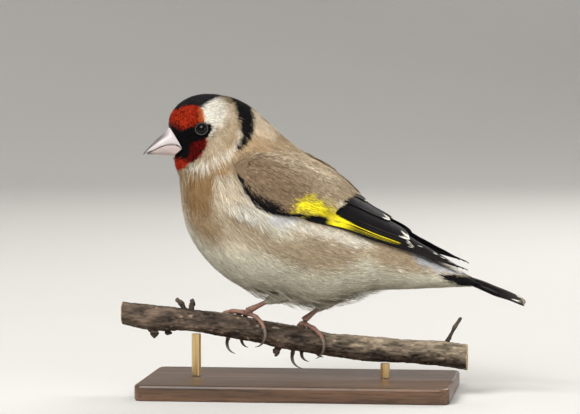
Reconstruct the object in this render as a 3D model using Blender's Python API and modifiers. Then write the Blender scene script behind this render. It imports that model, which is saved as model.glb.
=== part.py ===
"""A life-size European goldfinch on a cut length of branch, held by a plain display stand.

The bird looks along -X with its left side towards -Y. Every number is in millimetres until
solid() turns a shape into a Blender mesh in metres.
"""

import math

import bmesh
import bpy
import numpy as np
from mathutils import Matrix, Vector

MM = 0.001
GAP = 0.32  # kept between neighbouring pieces

# Head, from the face behind the bill to the nape. Each row is one slanted cross-section: its
# top x and z, its lowest x and z, its half width, how much fuller it is below, and how far its
# sides lie behind the plane through its top and lowest point.
HEAD_SECTIONS = (
    (-41.3, 84.1, -40.3, 74.6, 3.75, 0.10, 2.6),
    (-41.4, 87.4, -39.9, 73.1, 5.5, 0.06, 3.8),
    (-38.6, 91.3, -39.7, 71.7, 7.3, 0.08, 3.9),
    (-34.4, 93.7, -39.2, 70.6, 8.8, 0.12, 3.4),
    (-29.7, 94.5, -38.8, 69.6, 9.8, 0.14, 2.5),
    (-24.6, 94.0, -38.4, 68.6, 10.4, 0.15, 1.5),
    (-19.4, 92.4, -38.1, 67.5, 11.0, 0.13, 0.6),
    (-14.9, 89.7, -38.0, 66.2, 11.9, 0.10, 0.0),
)
# Neck and trunk, from the throat and hind neck to the roots of the tail feathers.
TRUNK_SECTIONS = (
    (-10.9, 86.1, -37.6, 63.4, 13.2, 0.06, 0.0),
    (-4.6, 80.4, -37.3, 58.8, 15.6, 0.05, 0.0),
    (2.2, 75.3, -35.3, 51.1, 17.4, 0.04, 0.0),
    (8.5, 70.9, -31.4, 44.5, 18.3, 0.04, 0.0),
    (13.1, 66.4, -25.0, 37.9, 18.4, 0.05, 0.0),
    (17.6, 61.3, -16.9, 32.4, 17.7, 0.06, 0.0),
    (22.0, 57.6, -6.6, 29.5, 16.3, 0.08, 0.0),
    (27.1, 54.3, 4.4, 27.4, 14.3, 0.10, 0.0),
    (32.4, 51.0, 14.2, 28.5, 12.0, 0.10, 0.0),
    (37.8, 47.2, 22.7, 31.3, 9.6, 0.08, 0.0),
    (44.1, 42.8, 31.5, 33.0, 7.6, 0.05, 0.0),
    (49.8, 39.7, 41.6, 33.9, 6.0, 0.02, 0.0),
    (52.9, 37.8, 48.8, 34.3, 5.0, 0.00, 0.0),
)
BODY_SECTIONS = HEAD_SECTIONS + TRUNK_SECTIONS
HEAD_END = 6.4  # where the head is parted from the neck, counted in sections
NECK_END = 9.0
TRUNK_END = len(BODY_SECTIONS) - 1.0
HEAD_TURN = math.radians(18.0)  # towards the bird's left
TURN_PIVOT_X = -23.6
TURN_FROM, TURN_TO = 9.5, 5.0

BODY_SIDES = 28
HEAD_RINGS, NECK_RINGS, TRUNK_RINGS = 14, 5, 22

# The folded wings ride on a roof that lifts off the rump towards the tail.
ROOF_FIRST = 12  # the section where it starts to lift
ROOF_LIFT = (0.0, 0.2, 0.6, 1.1, 1.5, 2.0, 2.6, 2.2, 1.8)
ROOF_SPREAD = (0.0, 0.0, 0.2, 0.4, 0.5, 0.6, 0.7, 0.8, 0.8)
# Rows across the folded wing, from the shoulder to its tip, in the side view:
# x and z on its upper edge, then x and z on its lower edge.
WING_ROWS = (
    (-18.9, 72.9, -17.3, 68.4),
    (-12.0, 75.9, -13.9, 63.6),
    (-3.1, 74.7, -9.6, 59.7),
    (5.7, 71.2, -3.8, 57.8),
    (13.3, 65.8, 3.1, 56.4),
    (19.2, 61.3, 12.0, 53.9),
    (25.2, 58.4, 20.5, 50.7),
    (31.5, 54.0, 29.0, 47.6),
    (37.8, 49.8, 37.2, 44.7),
    (44.1, 45.6, 44.4, 42.2),
    (48.8, 42.3, 49.2, 40.4),
    (52.4, 39.8, 52.6, 39.2),
)
WINGS_APART = 0.7  # half the space kept between the two wings over the back
WING_SKIN_OFF = 0.42  # from the plumage under it to the wing's inner face
ARM_THICKNESS = 0.8  # the fleshy arm and hand under the coverts
ARM_REACH = 0.8  # the share of the wing's length that the arm and hand run under
RIGHT_TIP_LIFT = 1.8  # the right wing's tip is held higher than the left's

# Tiers of wing feathers from the innermost layer out. Each row: name, number of vanes, share
# along the wing of their roots, of the first and last tip, the first and last place of their
# roots and of their tips from the upper edge (0) to the lower edge (1), half width as a share
# of the wing's depth, and the height of their inner face at the root and at the tip.
WING_TIERS = (
    ("primary", 7, (0.34, 0.72, 1.0), (0.38, 0.86), (0.16, 0.62), 0.20, (0.10, 0.30)),
    ("outer primary", 2, (0.40, 0.97, 0.86), (0.88, 0.94), (0.84, 0.93), 0.13, (0.05, 0.10)),
    ("secondary", 4, (0.28, 0.60, 0.67), (0.42, 0.84), (0.46, 0.90), 0.14, (0.25, 0.50)),
    ("tertial", 3, (0.26, 0.64, 0.48), (0.40, 0.14), (0.38, 0.10), 0.17, (0.55, 0.80)),
    ("primary covert", 2, (0.26, 0.47, 0.42), (0.80, 0.90), (0.84, 0.95), 0.10, (0.40, 0.62)),
    ("greater covert", 7, (0.15, 0.43, 0.37), (0.08, 0.90), (0.06, 0.90), 0.10, (0.50, 1.10)),
    ("median covert", 5, (0.06, 0.29, 0.24), (0.14, 0.86), (0.10, 0.88), 0.14, (0.45, 1.35)),
)
# Outline of a vane: share of its length, share of its half width.
LONG_VANE = ((0.0, 0.6), (0.34, 0.94), (0.7, 1.0), (0.91, 0.76), (1.0, 0.2))
SHORT_VANE = ((0.0, 0.6), (0.5, 1.0), (0.86, 0.84), (1.0, 0.24))
VANE_THICKNESS = 0.52
VANE_TIP_THICKNESS = 0.36
SHINGLE_RISE = 0.42  # how far a vane's lower edge stands over its neighbour
WAYWARDNESS = 0.012  # how far tips stray, as a share of the wing

# Bill, in the head's own side view before it turns: top x and z, lowest x and z, half width.
UPPER_BILL = (
    (-41.65, 84.0, -38.1, 77.65, 3.45),
    (-42.4, 83.1, -39.9, 78.75, 3.4),
    (-44.6, 81.2, -43.4, 78.6, 2.65),
    (-47.1, 78.85, -46.6, 77.2, 1.6),
    (-48.9, 77.0, -48.8, 76.25, 0.7),
    (-49.9, 75.7, -49.9, 75.5, 0.14),
)
LOWER_BILL = (
    (-38.1, 77.25, -40.75, 75.0, 3.2),
    (-40.2, 78.36, -41.9, 75.1, 3.1),
    (-43.4, 78.22, -43.8, 75.25, 2.35),
    (-46.5, 76.85, -46.6, 75.5, 1.4),
    (-48.5, 75.95, -48.5, 75.6, 0.4),
)
BILL_SIDES = 14
NOSTRIL_PLACE = (-41.7, 81.4)
NOSTRIL_RADIUS = 0.42

EYE_PLACE = (-32.8, 83.8)  # in the head's own side view
EYE_RADIUS = 2.3
EYE_SHOWN_RADIUS = 1.65
LID_WIDTH = 0.5

# Branch: x, z and radius along its axis, which lies in the plane y = 0.
PERCH_AXIS = (
    (-56.7, 24.9, 3.6),
    (-47.2, 23.5, 4.1),
    (-36.2, 22.9, 3.55),
    (-24.6, 21.5, 3.85),
    (-12.9, 19.5, 3.8),
    (-3.1, 17.6, 4.0),
    (8.5, 15.7, 3.7),
    (20.2, 14.5, 4.0),
    (31.5, 13.8, 3.8),
    (43.5, 13.2, 4.0),
    (52.9, 12.0, 4.1),
)
PERCH_SIDES = 14
STUB_TAPER = (1.25, 1.1, 0.85, 0.45)
# Stubs on the branch: root x, root angle about the axis, length, radius, tip lean along x.
PERCH_STUBS = (
    ("bud spur", -36.0, -8.0, 4.9, 1.2, -0.22),
    ("bud scale", -35.0, 10.0, 3.3, 1.1, 0.35),
    ("twig stub", 44.4, 4.0, 9.0, 0.85, 0.55),
    ("knot", -47.0, 172.0, 2.0, 1.6, 0.0),
    ("small knot", -42.8, 168.0, 1.4, 1.2, 0.1),
    ("leaf bud", -6.6, 176.0, 2.3, 1.4, -0.1),
)

# Legs. Each toe row: name, travel along the branch, angle wrapped round it, how far its end
# stands off the bark, the length of its claw, the turn of that claw and the way it curls.
TROUSER_RADII = (2.6, 2.4, 2.0, 1.6, 1.15)
LEG_RADII = (0.60, 0.58, 0.60, 0.66, 0.78, 0.95, 1.05)
TOE_RADIUS = 0.72
TOE_START_ANGLE = 4.0
TOE_POINTS, CLAW_POINTS = 8, 8
CURL_BACK = (0.9, -0.25, -0.2)
LEFT_LEG = {
    "heel": (-4.6, -5.6, 32.0),
    "ball": (-16.6, -0.4, 25.9),
    "trouser": 5.3,
    "toes": (
        ("hind", 5.8, -70.0, 0.0, 7.8, 118.0, (-0.9, 0.45, -0.2)),
        ("inner", -2.4, 130.0, 0.2, 4.6, 80.0, CURL_BACK),
        ("middle", -6.9, 140.0, 1.3, 6.2, 85.0, CURL_BACK),
        ("outer", -9.6, 74.0, 0.1, 4.2, 80.0, (-0.2, -0.8, -0.6)),
    ),
}
RIGHT_LEG = {
    "heel": (11.2, 5.6, 31.2),
    "ball": (1.2, 0.3, 23.1),
    "trouser": 7.3,
    "toes": (
        ("hind", 6.4, -66.0, 0.0, 7.6, 110.0, (-0.8, 0.4, -0.3)),
        ("inner", -1.0, 142.0, 0.4, 4.6, 80.0, CURL_BACK),
        ("middle", -4.0, 146.0, 1.6, 6.6, 85.0, CURL_BACK),
        ("outer", 3.2, 120.0, 0.1, 4.2, 80.0, CURL_BACK),
    ),
}

# Tail: its upper middle line, the droop of its sides and its twelve feathers, the middle pair
# on top and shortest.
TAIL_LINE = ((49.6, 37.6), (53.5, 36.6), (58.5, 35.0), (64.0, 32.7), (70.9, 29.3))
TAIL_DROOP = 1.3
TAIL_HALF_WIDTH = 5.2
TAIL_FAN = 0.26  # how much narrower it is at the roots
TAIL_PAIRS = 6
TAIL_FORK = 0.15  # the middle pair falls this share of the tail short of the outer tips
TAIL_ROOT_END = 56.0
TAIL_ROOT_SHARE = 0.2
RECTRIX_HALF_WIDTH = 0.23
RECTRIX_STEP = 0.16  # each pair lies this much lower than the one inside it

BASE_LENGTH, BASE_WIDTH, BASE_HEIGHT = 98.0, 54.0, 5.0
BASE_CORNER = 3.0
ROD_RADIUS = 1.5
ROD_PLACES = (-33.0, 27.0)


def spline(rows, place):
    """Rows of numbers read at a fractional row number, along a smooth curve through them."""
    table = np.asarray(rows, float)
    place = np.clip(np.asarray(place, float), 0.0, len(table) - 1.0)
    low = np.minimum(place.astype(int), len(table) - 2)
    padded = np.vstack([2 * table[0] - table[1], table, 2 * table[-1] - table[-2]])
    t = (place - low)[..., None]
    a, b, c, d = (padded[low + k] for k in range(4))
    return 0.5 * (
        2 * b
        + (c - a) * t
        + (2 * a - 5 * b + 4 * c - d) * t**2
        + (3 * b - a - 3 * c + d) * t**3
    )


def ease(value):
    value = np.clip(value, 0.0, 1.0)
    return value * value * (3.0 - 2.0 * value)


def unit(vectors):
    vectors = np.asarray(vectors, float)
    return vectors / np.linalg.norm(vectors, axis=-1, keepdims=True)


def turned(points, place):
    """Points at section number place, turned about the upright neck line as the head is."""
    angle = HEAD_TURN * ease((TURN_FROM - place) / (TURN_FROM - TURN_TO))
    x = points[..., 0] - TURN_PIVOT_X
    y = points[..., 1]
    return np.stack(
        [
            TURN_PIVOT_X + x * np.cos(angle) - y * np.sin(angle),
            x * np.sin(angle) + y * np.cos(angle),
            points[..., 2],
        ],
        axis=-1,
    )


def side_share(up):
    """1 at the sides of a section and 0 at its top and lowest point, fuller below."""
    return (1 - up**2) * (1 - 0.9 * up)


def body_surface(place, angle, roof=False):
    """A point of the skin: angle 0 is the ridge of the back, and +90 degrees the right side."""
    place, angle = np.broadcast_arrays(
        np.asarray(place, float), np.asarray(angle, float)
    )
    rows = np.array(BODY_SECTIONS)
    if roof:
        rows[ROOF_FIRST:, 1] += ROOF_LIFT
        rows[ROOF_FIRST:, 4] += ROOF_SPREAD
    top_x, top_z, low_x, low_z, width, fuller, swept = np.moveaxis(
        spline(rows, place), -1, 0
    )
    up = np.cos(angle)
    x = (top_x + low_x) / 2 + (top_x - low_x) / 2 * up + swept * side_share(up)
    z = (top_z + low_z) / 2 + (top_z - low_z) / 2 * up
    y = width * np.sin(angle) * (1.0 - fuller * up)
    return turned(np.stack([x, y, z], axis=-1), place)


def surface_frame(place, angle, roof=False):
    """The point there, the directions along the body and round it, and the way out."""
    step = 0.02
    point = body_surface(place, angle, roof)
    along = body_surface(place + step, angle, roof) - body_surface(
        place - step, angle, roof
    )
    around = body_surface(place, angle + step, roof) - body_surface(
        place, angle - step, roof
    )
    return (
        point,
        along / (2 * step),
        around / (2 * step),
        unit(np.cross(along, around)),
    )


def place_in_side_view(x, z, first, last, roof=False):
    """Section number and angle whose side view, with the head unturned, is at (x, z)."""
    rows = np.array(BODY_SECTIONS)
    if roof:
        rows[ROOF_FIRST:, 1] += ROOF_LIFT
    places = np.linspace(first, last, 2001)
    found = spline(rows, places)
    top, low, swept = found[:, 0:2], found[:, 2:4], found[:, 6]
    index, angle = 0, math.pi / 2
    for _ in range(4):
        target = np.array([x - swept[index] * side_share(math.cos(angle)), z])
        aim = target - top
        side = (low - top)[:, 0] * aim[:, 1] - (low - top)[:, 1] * aim[:, 0]
        crossing = np.flatnonzero(np.sign(side[:-1]) != np.sign(side[1:]))
        index = crossing[-1] if len(crossing) else int(np.argmin(np.abs(side)))
        middle, half = (top[index] + low[index]) / 2, (top[index] - low[index]) / 2
        up = np.dot(target - middle, half) / np.dot(half, half)
        angle = math.acos(max(-1.0, min(1.0, up)))
    return places[index], angle


def solid(name, points, faces):
    """A mesh object in metres, with its faces turned outwards."""
    mesh = bpy.data.meshes.new(name)
    mesh.from_pydata((np.asarray(points, float) * MM).tolist(), [], faces)
    work = bmesh.new()
    work.from_mesh(mesh)
    bmesh.ops.recalc_face_normals(work, faces=work.faces)
    work.to_mesh(mesh)
    work.free()
    made = bpy.data.objects.new(name, mesh)
    bpy.context.scene.collection.objects.link(made)
    return made


def loft(name, rings):
    """A closed solid through rings of equally many points, which start at their tops.

    Its ends are filled by rungs that run straight across from side to side.
    """
    count = len(rings[0])
    faces = []
    for ring in range(len(rings) - 1):
        for k in range(count):
            after = (k + 1) % count
            low, high = ring * count, (ring + 1) * count
            faces.append((low + k, low + after, high + after, high + k))
    for end in (0, (len(rings) - 1) * count):
        for k in range(count // 2):
            corners = (k, k + 1, count - k - 1, (count - k) % count)
            faces.append([end + corner for corner in dict.fromkeys(corners)])
    return solid(name, np.concatenate(rings), faces)


def plate(name, upper, lower):
    """A closed sheet between two grids of points that are split into triangles alike."""
    along, across = upper.shape[:2]
    count = along * across
    faces = []
    for i in range(along - 1):
        for j in range(across - 1):
            a, b = i * across + j, (i + 1) * across + j
            for corner in ((a, b, b + 1), (a, b + 1, a + 1)):
                faces.append(corner)
                faces.append(tuple(count + k for k in reversed(corner)))
    rim = (
        [(0, j) for j in range(across)]
        + [(i, across - 1) for i in range(1, along)]
        + [(along - 1, j) for j in range(across - 2, -1, -1)]
        + [(i, 0) for i in range(along - 2, 0, -1)]
    )
    rim = [i * across + j for i, j in rim]
    for k, a in enumerate(rim):
        b = rim[(k + 1) % len(rim)]
        faces.append((a, b, count + b))
        faces.append((a, count + b, count + a))
    return solid(
        name, np.concatenate([upper.reshape(-1, 3), lower.reshape(-1, 3)]), faces
    )


def tube(name, points, radii, sides):
    """A round bar of changing radius along points, made as a curve with filled caps."""
    curve = bpy.data.curves.new(name, "CURVE")
    curve.dimensions = "3D"
    curve.bevel_depth = MM
    curve.bevel_resolution = sides // 2 - 2
    curve.use_fill_caps = True
    line = curve.splines.new("POLY")
    line.points.add(len(points) - 1)
    for spot, point, radius in zip(line.points, points, radii):
        spot.co = (*(float(value) * MM for value in point), 1.0)
        spot.radius = float(radius)
    guide = bpy.data.objects.new(name, curve)
    bpy.context.scene.collection.objects.link(guide)
    graph = bpy.context.evaluated_depsgraph_get()
    mesh = bpy.data.meshes.new_from_object(guide.evaluated_get(graph))
    bpy.data.objects.remove(guide)
    work = bmesh.new()
    work.from_mesh(mesh)
    bmesh.ops.remove_doubles(work, verts=work.verts, dist=0.001 * MM)
    bmesh.ops.recalc_face_normals(work, faces=work.faces)
    work.to_mesh(mesh)
    work.free()
    made = bpy.data.objects.new(name, mesh)
    bpy.context.scene.collection.objects.link(made)
    return made


def joined(pieces, name, solver="EXACT"):
    """The union of pieces as one object, by one Boolean on a collection."""
    body, others = pieces[0], pieces[1:]
    if others:
        tools = bpy.data.collections.new(name + " pieces")
        bpy.context.scene.collection.children.link(tools)
        for piece in others:
            for home in piece.users_collection:
                home.objects.unlink(piece)
            tools.objects.link(piece)
        modifier = body.modifiers.new("Join", "BOOLEAN")
        modifier.operand_type = "COLLECTION"
        modifier.collection = tools
        modifier.operation = "UNION"
        modifier.solver = solver
        apply_modifiers(body)
        for piece in others:
            bpy.data.objects.remove(piece)
        bpy.data.collections.remove(tools)
    keep_largest(body)
    body.name = name
    return body


def cut(body, cutter):
    cutter.hide_render = True
    cutter.display_type = "WIRE"
    modifier = body.modifiers.new("Cut", "BOOLEAN")
    modifier.object = cutter
    modifier.operation = "DIFFERENCE"
    apply_modifiers(body)
    bpy.data.objects.remove(cutter)
    keep_largest(body)


def apply_modifiers(body):
    graph = bpy.context.evaluated_depsgraph_get()
    mesh = bpy.data.meshes.new_from_object(body.evaluated_get(graph))
    body.modifiers.clear()
    body.data = mesh


def keep_largest(body):
    """Drops every closed surface of the mesh but the one with the most volume."""
    work = bmesh.new()
    work.from_mesh(body.data)
    bmesh.ops.triangulate(work, faces=work.faces)
    left, shells = set(work.faces), []
    while left:
        shell, front = set(), [left.pop()]
        while front:
            face = front.pop()
            shell.add(face)
            for edge in face.edges:
                for other in edge.link_faces:
                    if other in left:
                        left.remove(other)
                        front.append(other)
        volume = sum(
            f.verts[0].co.dot(f.verts[1].co.cross(f.verts[2].co)) for f in shell
        )
        shells.append((abs(volume), shell))
    shells.sort(key=lambda entry: entry[0])
    for _, shell in shells[:-1]:
        bmesh.ops.delete(work, geom=list(shell), context="FACES")
    work.to_mesh(body.data)
    work.free()


def body_ring(place):
    turns = np.arange(BODY_SIDES) * 2 * math.pi / BODY_SIDES
    return body_surface(np.full(BODY_SIDES, float(place)), turns)


def ring_normal(ring):
    """The way from the head to the tail, square to a flat ring of the body."""
    normal = unit(np.cross(ring[0] - ring.mean(0), ring[BODY_SIDES // 4] - ring.mean(0)))
    return normal if normal @ np.array([0.6, 0.0, -0.8]) > 0 else -normal


def body_rings(first, last, count, gap_at_start):
    rings = [body_ring(place) for place in np.linspace(first, last, count)]
    if gap_at_start:
        rings[0] = rings[0] + GAP * ring_normal(rings[0])
    return rings


def eye_seat(side):
    """The middle of the shown eye on the skin and the way out of it, for side +1 or -1."""
    place, angle = place_in_side_view(*EYE_PLACE, 1.0, 8.0)
    point, _, _, out = surface_frame(np.array(place), np.array(side * angle))
    return point, out if out @ (point - body_ring(place).mean(0)) > 0 else -out


def aim(obj, direction):
    """Turns the object's Z axis to a direction."""
    obj.rotation_mode = "QUATERNION"
    obj.rotation_quaternion = Vector(direction).to_track_quat("Z", "Y")


def baked(obj):
    """Moves the object's place and turn into its mesh."""
    bpy.context.view_layer.update()
    obj.data.transform(obj.matrix_world)
    obj.matrix_world.identity()
    return obj


def ball(name, centre, radius, segments=24, rings=14):
    bpy.ops.mesh.primitive_uv_sphere_add(
        segments=segments,
        ring_count=rings,
        radius=radius * MM,
        location=tuple(np.asarray(centre) * MM),
    )
    made = bpy.context.object
    made.name = name
    return made


def eye_centre(side):
    point, out = eye_seat(side)
    depth = math.sqrt(EYE_RADIUS**2 - EYE_SHOWN_RADIUS**2)
    return point - out * depth, out


def make_eye(name, side):
    centre, out = eye_centre(side)
    eye = ball(name, centre, EYE_RADIUS, 16, 8)
    aim(eye, out)
    return baked(eye)


def lid_ring(side):
    """The bare rim of the lids, a thin ring round the shown part of the eye."""
    point, out = eye_seat(side)
    bpy.ops.mesh.primitive_torus_add(
        major_radius=(EYE_SHOWN_RADIUS + GAP + LID_WIDTH * 0.55) * MM,
        minor_radius=LID_WIDTH * 0.55 * MM,
        major_segments=18,
        minor_segments=4,
        location=tuple((point + 0.12 * out) * MM),
    )
    ring = bpy.context.object
    aim(ring, out)
    return baked(ring)


def make_head():
    skull = loft("skull", body_rings(0.0, HEAD_END, HEAD_RINGS, False))
    pieces = [skull] + [lid_ring(side) for side in (-1, 1)]
    head = joined(pieces, "head")
    for side in (-1, 1):
        centre, _ = eye_centre(side)
        socket = ball("socket", centre, EYE_RADIUS + GAP, 14, 8)
        cut(head, socket)
    return head


def bill_ring(row, arch_up):
    """One section of a mandible: arched on one side and flat at the mouth line."""
    top_x, top_z, low_x, low_z, width = row
    turns = np.arange(BILL_SIDES) * 2 * math.pi / BILL_SIDES
    up, side = np.cos(turns), np.sin(turns)
    if arch_up:
        share = np.where(up > 0, np.abs(up) ** 0.85, 0.0)
    else:
        share = np.where(up < 0, 1 - np.abs(up) ** 0.8, 1.0)
    points = np.stack(
        [
            low_x + (top_x - low_x) * share,
            width * side,
            low_z + (top_z - low_z) * share,
        ],
        axis=-1,
    )
    return turned(points, 0.0)


def make_bill(name, rows, arch_up, rings):
    places = np.linspace(0.0, len(rows) - 1.0, rings)
    return loft(name, [bill_ring(row, arch_up) for row in spline(rows, places)])


def make_upper_bill():
    bill = make_bill("bill_upper", UPPER_BILL, True, 10)
    for side in (-1, 1):
        x, z = NOSTRIL_PLACE
        centre = turned(np.array([x, side * 2.75, z]), 0.0)
        pit = ball("nostril", centre, NOSTRIL_RADIUS, 10, 6)
        cut(bill, pit)
    return bill


def make_neck():
    return loft("neck", body_rings(HEAD_END, NECK_END, NECK_RINGS, True))


def leg_direction(leg):
    return unit(np.array(leg["ball"]) - np.array(leg["heel"]))


def trouser(leg):
    """The short feathered sleeve round the top of a leg, ending in a flat face."""
    heel, way = np.array(leg["heel"]), leg_direction(leg)
    steps = np.linspace(-2.5, leg["trouser"], 5)
    points = heel + steps[:, None] * way
    return tube("trouser", points, TROUSER_RADII, 12)


def make_trunk():
    trunk = loft("trunk", body_rings(NECK_END, TRUNK_END, TRUNK_RINGS, True))
    return joined([trunk, trouser(LEFT_LEG), trouser(RIGHT_LEG)], "torso")


def wing_corners(rows):
    """Section numbers and angles of the wing's upper and lower edge, row by row."""
    found = []
    for upper_x, upper_z, lower_x, lower_z in rows:
        upper = place_in_side_view(upper_x, upper_z, 7.0, TRUNK_END, True)
        lower = place_in_side_view(lower_x, lower_z, 7.0, TRUNK_END, True)
        width = spline(BODY_SECTIONS, upper[0])[4]
        least = math.asin(WINGS_APART / width)
        found.append((upper[0], max(upper[1], least), *lower))
    return np.array(found)


def wing_frame(corners, side, along, across):
    """The roof under a wing at a share along it and a share from its upper to its lower edge."""
    along, across = np.broadcast_arrays(
        np.asarray(along, float), np.asarray(across, float)
    )
    rows = spline(corners, along * (len(corners) - 1))
    place = rows[..., 0] + (rows[..., 2] - rows[..., 0]) * across
    angle = rows[..., 1] + (rows[..., 3] - rows[..., 1]) * across
    point, forward, around, out = surface_frame(place, angle, True)
    if side > 0:
        lift = RIGHT_TIP_LIFT * ease((along - 0.55) / 0.45)
        point = point + np.stack([0 * lift, 0 * lift, lift], axis=-1)
        return point, forward, around, out
    flip = np.array([1.0, -1.0, 1.0])
    return point * flip, forward * flip, around * flip, out * flip


def arm_thickness(along, across):
    """Thickness of the arm and hand, thin round the edges."""
    edge = np.minimum(np.minimum(across, 1 - across) / 0.2, along / 0.12)
    rear = 1 - along / ARM_REACH
    body = ARM_THICKNESS * (0.55 + 0.45 * ease(np.minimum(rear / 0.4, 1)))
    return 0.45 + (body - 0.45) * ease(np.minimum(edge, 1))


def vane(name, surface, root, tip, half_width, heights, rise):
    """One feather: a thin plate along its shaft, its roots low and its far edge raised."""
    outline = np.array(SHORT_VANE if "covert" in name else LONG_VANE)
    share, width = outline[:, :1], outline[:, 1:] * half_width
    side = np.array([-1.0, 0.0, 1.0])
    along = root[0] + (tip[0] - root[0]) * share + 0 * side
    across = root[1] + (tip[1] - root[1]) * share + width * side
    height = heights[0] + (heights[1] - heights[0]) * share
    height = height + rise * (side + 1) / 2 * ease(share / 0.3)
    thickness = VANE_THICKNESS + (VANE_TIP_THICKNESS - VANE_THICKNESS) * share**4
    lower = surface(along, across, height)
    upper = surface(along, across, height + thickness)
    return plate(name, upper, lower)


def make_wing(name, side, seed):
    corners = wing_corners(WING_ROWS)
    draw = np.random.default_rng(seed)

    def surface(along, across, height):
        across = np.clip(across, 0.0, 1.0)
        point, _, _, out = wing_frame(corners, side, along, across)
        return point + out * (WING_SKIN_OFF + height)[..., None]

    along, across = np.meshgrid(
        np.linspace(0, ARM_REACH, 14), np.linspace(0, 1, 7), indexing="ij"
    )
    inner = surface(along, across, 0 * along)
    outer = surface(along, across, arm_thickness(along, across))
    pieces = [plate("arm", outer, inner)]
    for title, count, (start, first, last), roots, tips, width, heights in WING_TIERS:
        for share in np.linspace(0, 1, count):
            stray = draw.normal(0, WAYWARDNESS, 2)
            root = (start, roots[0] + (roots[1] - roots[0]) * share)
            tip_along = min(first + (last - first) * share + stray[0], 1.0)
            tip = (tip_along, tips[0] + (tips[1] - tips[0]) * share + stray[1])
            pieces.append(vane(title, surface, root, tip, width, heights, SHINGLE_RISE))
    return joined(pieces, name)


def tail_surface(along, across, height):
    """A point over the tail: across runs from -1 on the left to +1 on the right."""
    line = np.asarray(along, float) * (len(TAIL_LINE) - 1)
    x, z = np.moveaxis(spline(TAIL_LINE, line), -1, 0)
    width = TAIL_HALF_WIDTH * (1 - TAIL_FAN * (1 - ease(along)))
    droop = TAIL_DROOP * across**2
    return np.stack([x + 0.36 * height, width * across, z + 0.93 * height - droop], axis=-1)


def tail_root():
    """The quills' common root, from the trunk's flat end into the vanes."""
    end = body_ring(TRUNK_END)
    start = end + GAP * ring_normal(end)
    centre = start.mean(0)
    rings = []
    for share in np.linspace(0, 1, 5):
        x = centre[0] + (TAIL_ROOT_END - centre[0]) * share
        row = np.array(TAIL_LINE)
        z = np.interp(x, row[:, 0], row[:, 1]) - 1.1
        target = np.array([x, 0.0, z])
        flat = (start - centre) * np.array([1 - share, 1 - 0.2 * share, 1 - 0.72 * share])
        rings.append(flat + centre + (target - centre) * ease(share))
    return loft("tail root", rings)


def make_tail():
    draw = np.random.default_rng(5)
    pieces = [tail_root()]
    for pair in range(TAIL_PAIRS):
        share = (pair + 0.5) / TAIL_PAIRS
        reach = 1 - TAIL_FORK * (1 - share) ** 1.4
        for side in (-1, 1):

            def surface(along, across, height, side=side):
                return tail_surface(along, side * across, height)

            stray = draw.normal(0, 0.006)
            low = -VANE_THICKNESS - SHINGLE_RISE - RECTRIX_STEP * pair
            root = (TAIL_ROOT_SHARE, share * 0.8)
            tip = (min(reach + stray, 1.0), share * 0.96)
            pieces.append(
                vane("rectrix", surface, root, tip, RECTRIX_HALF_WIDTH, (low, low), SHINGLE_RISE)
            )
    return joined(pieces, "tail")


def perch_at(x):
    """Height and radius of the branch at x."""
    axis = np.array(PERCH_AXIS)
    place = np.interp(x, axis[:, 0], np.arange(len(axis)))
    row = spline(axis, place)
    return row[..., 1], row[..., 2]


def on_perch(x, degrees, height):
    """A point above the bark: angle 0 is on top and +90 degrees on the right."""
    z, radius = perch_at(x)
    turn = np.radians(degrees)
    reach = radius + height
    x = np.asarray(x, float)
    return np.stack([x, reach * np.sin(turn), z + reach * np.cos(turn)], axis=-1)


def make_perch():
    count = 23
    places = np.linspace(0, len(PERCH_AXIS) - 1, count)
    rows = spline(PERCH_AXIS, places)
    axis = np.stack([rows[:, 0], np.zeros(count), rows[:, 1]], axis=-1)
    pieces = [tube("branch", axis, rows[:, 2], PERCH_SIDES)]
    for _, x, degrees, length, radius, lean in PERCH_STUBS:
        z, bark = perch_at(x)
        turn = math.radians(degrees)
        out = unit(np.array([lean, math.sin(turn), math.cos(turn)]))
        root = np.array([x, 0.0, z]) + out * (bark - 1.2)
        steps = np.linspace(0, 1, len(STUB_TAPER))[:, None]
        points = root + steps * out * (length + 1.2)
        pieces.append(tube("stub", points, radius * np.array(STUB_TAPER), 6))
    return joined(pieces, "perch")


def toe_path(leg, toe):
    """Points along one toe's middle line, from the ball of the foot round the branch."""
    _, travel, wrapped, stand_off = toe[:4]
    ball_point = np.array(leg["ball"])
    steps = np.linspace(0, 1, TOE_POINTS)
    start = math.copysign(TOE_START_ANGLE, wrapped)
    x = ball_point[0] + travel * (0.1 + 0.9 * (1.6 * steps - 0.6 * steps**2))
    degrees = start + (wrapped - start) * steps
    height = GAP + 0.08 + TOE_RADIUS * (1.12 - 0.1 * steps) + stand_off * steps**3
    return np.concatenate([[ball_point], on_perch(x, degrees, height)])


def make_leg(name, leg):
    way = leg_direction(leg)
    start = np.array(leg["heel"]) + way * (leg["trouser"] + GAP)
    steps = np.linspace(0, 1, len(LEG_RADII))[:, None]
    shank = start + (np.array(leg["ball"]) - start) * steps
    pieces = [tube("shank", shank, LEG_RADII, 8)]
    for toe in leg["toes"]:
        path = toe_path(leg, toe)
        knuckles = 1 + 0.1 * np.cos(np.linspace(0, 3 * 2 * math.pi, len(path)))
        taper = np.linspace(1.05, 0.82, len(path))
        pieces.append(tube("toe", path, TOE_RADIUS * knuckles * taper, 6))
    pieces.append(ball("sole", leg["ball"], 1.2, 8, 6))
    return joined(pieces, name)


def make_claw(name, leg, toe):
    """A curved, tapering claw that starts square to the flat end of a toe."""
    length, bend, curl = toe[4], math.radians(toe[5]), np.array(toe[6])
    path = toe_path(leg, toe)
    way = unit(path[-1] - path[-2])
    curl = unit(curl - way * (curl @ way))
    turns = np.linspace(0, bend, CLAW_POINTS)
    radius = length / bend
    points = (
        path[-1]
        + GAP * way
        + radius * np.sin(turns)[:, None] * way
        + radius * (1 - np.cos(turns))[:, None] * curl
    )
    radii = 0.5 * (1 - np.linspace(0, 1, CLAW_POINTS) ** 1.3) + 0.1
    return tube(name, points, radii, 6)


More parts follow.
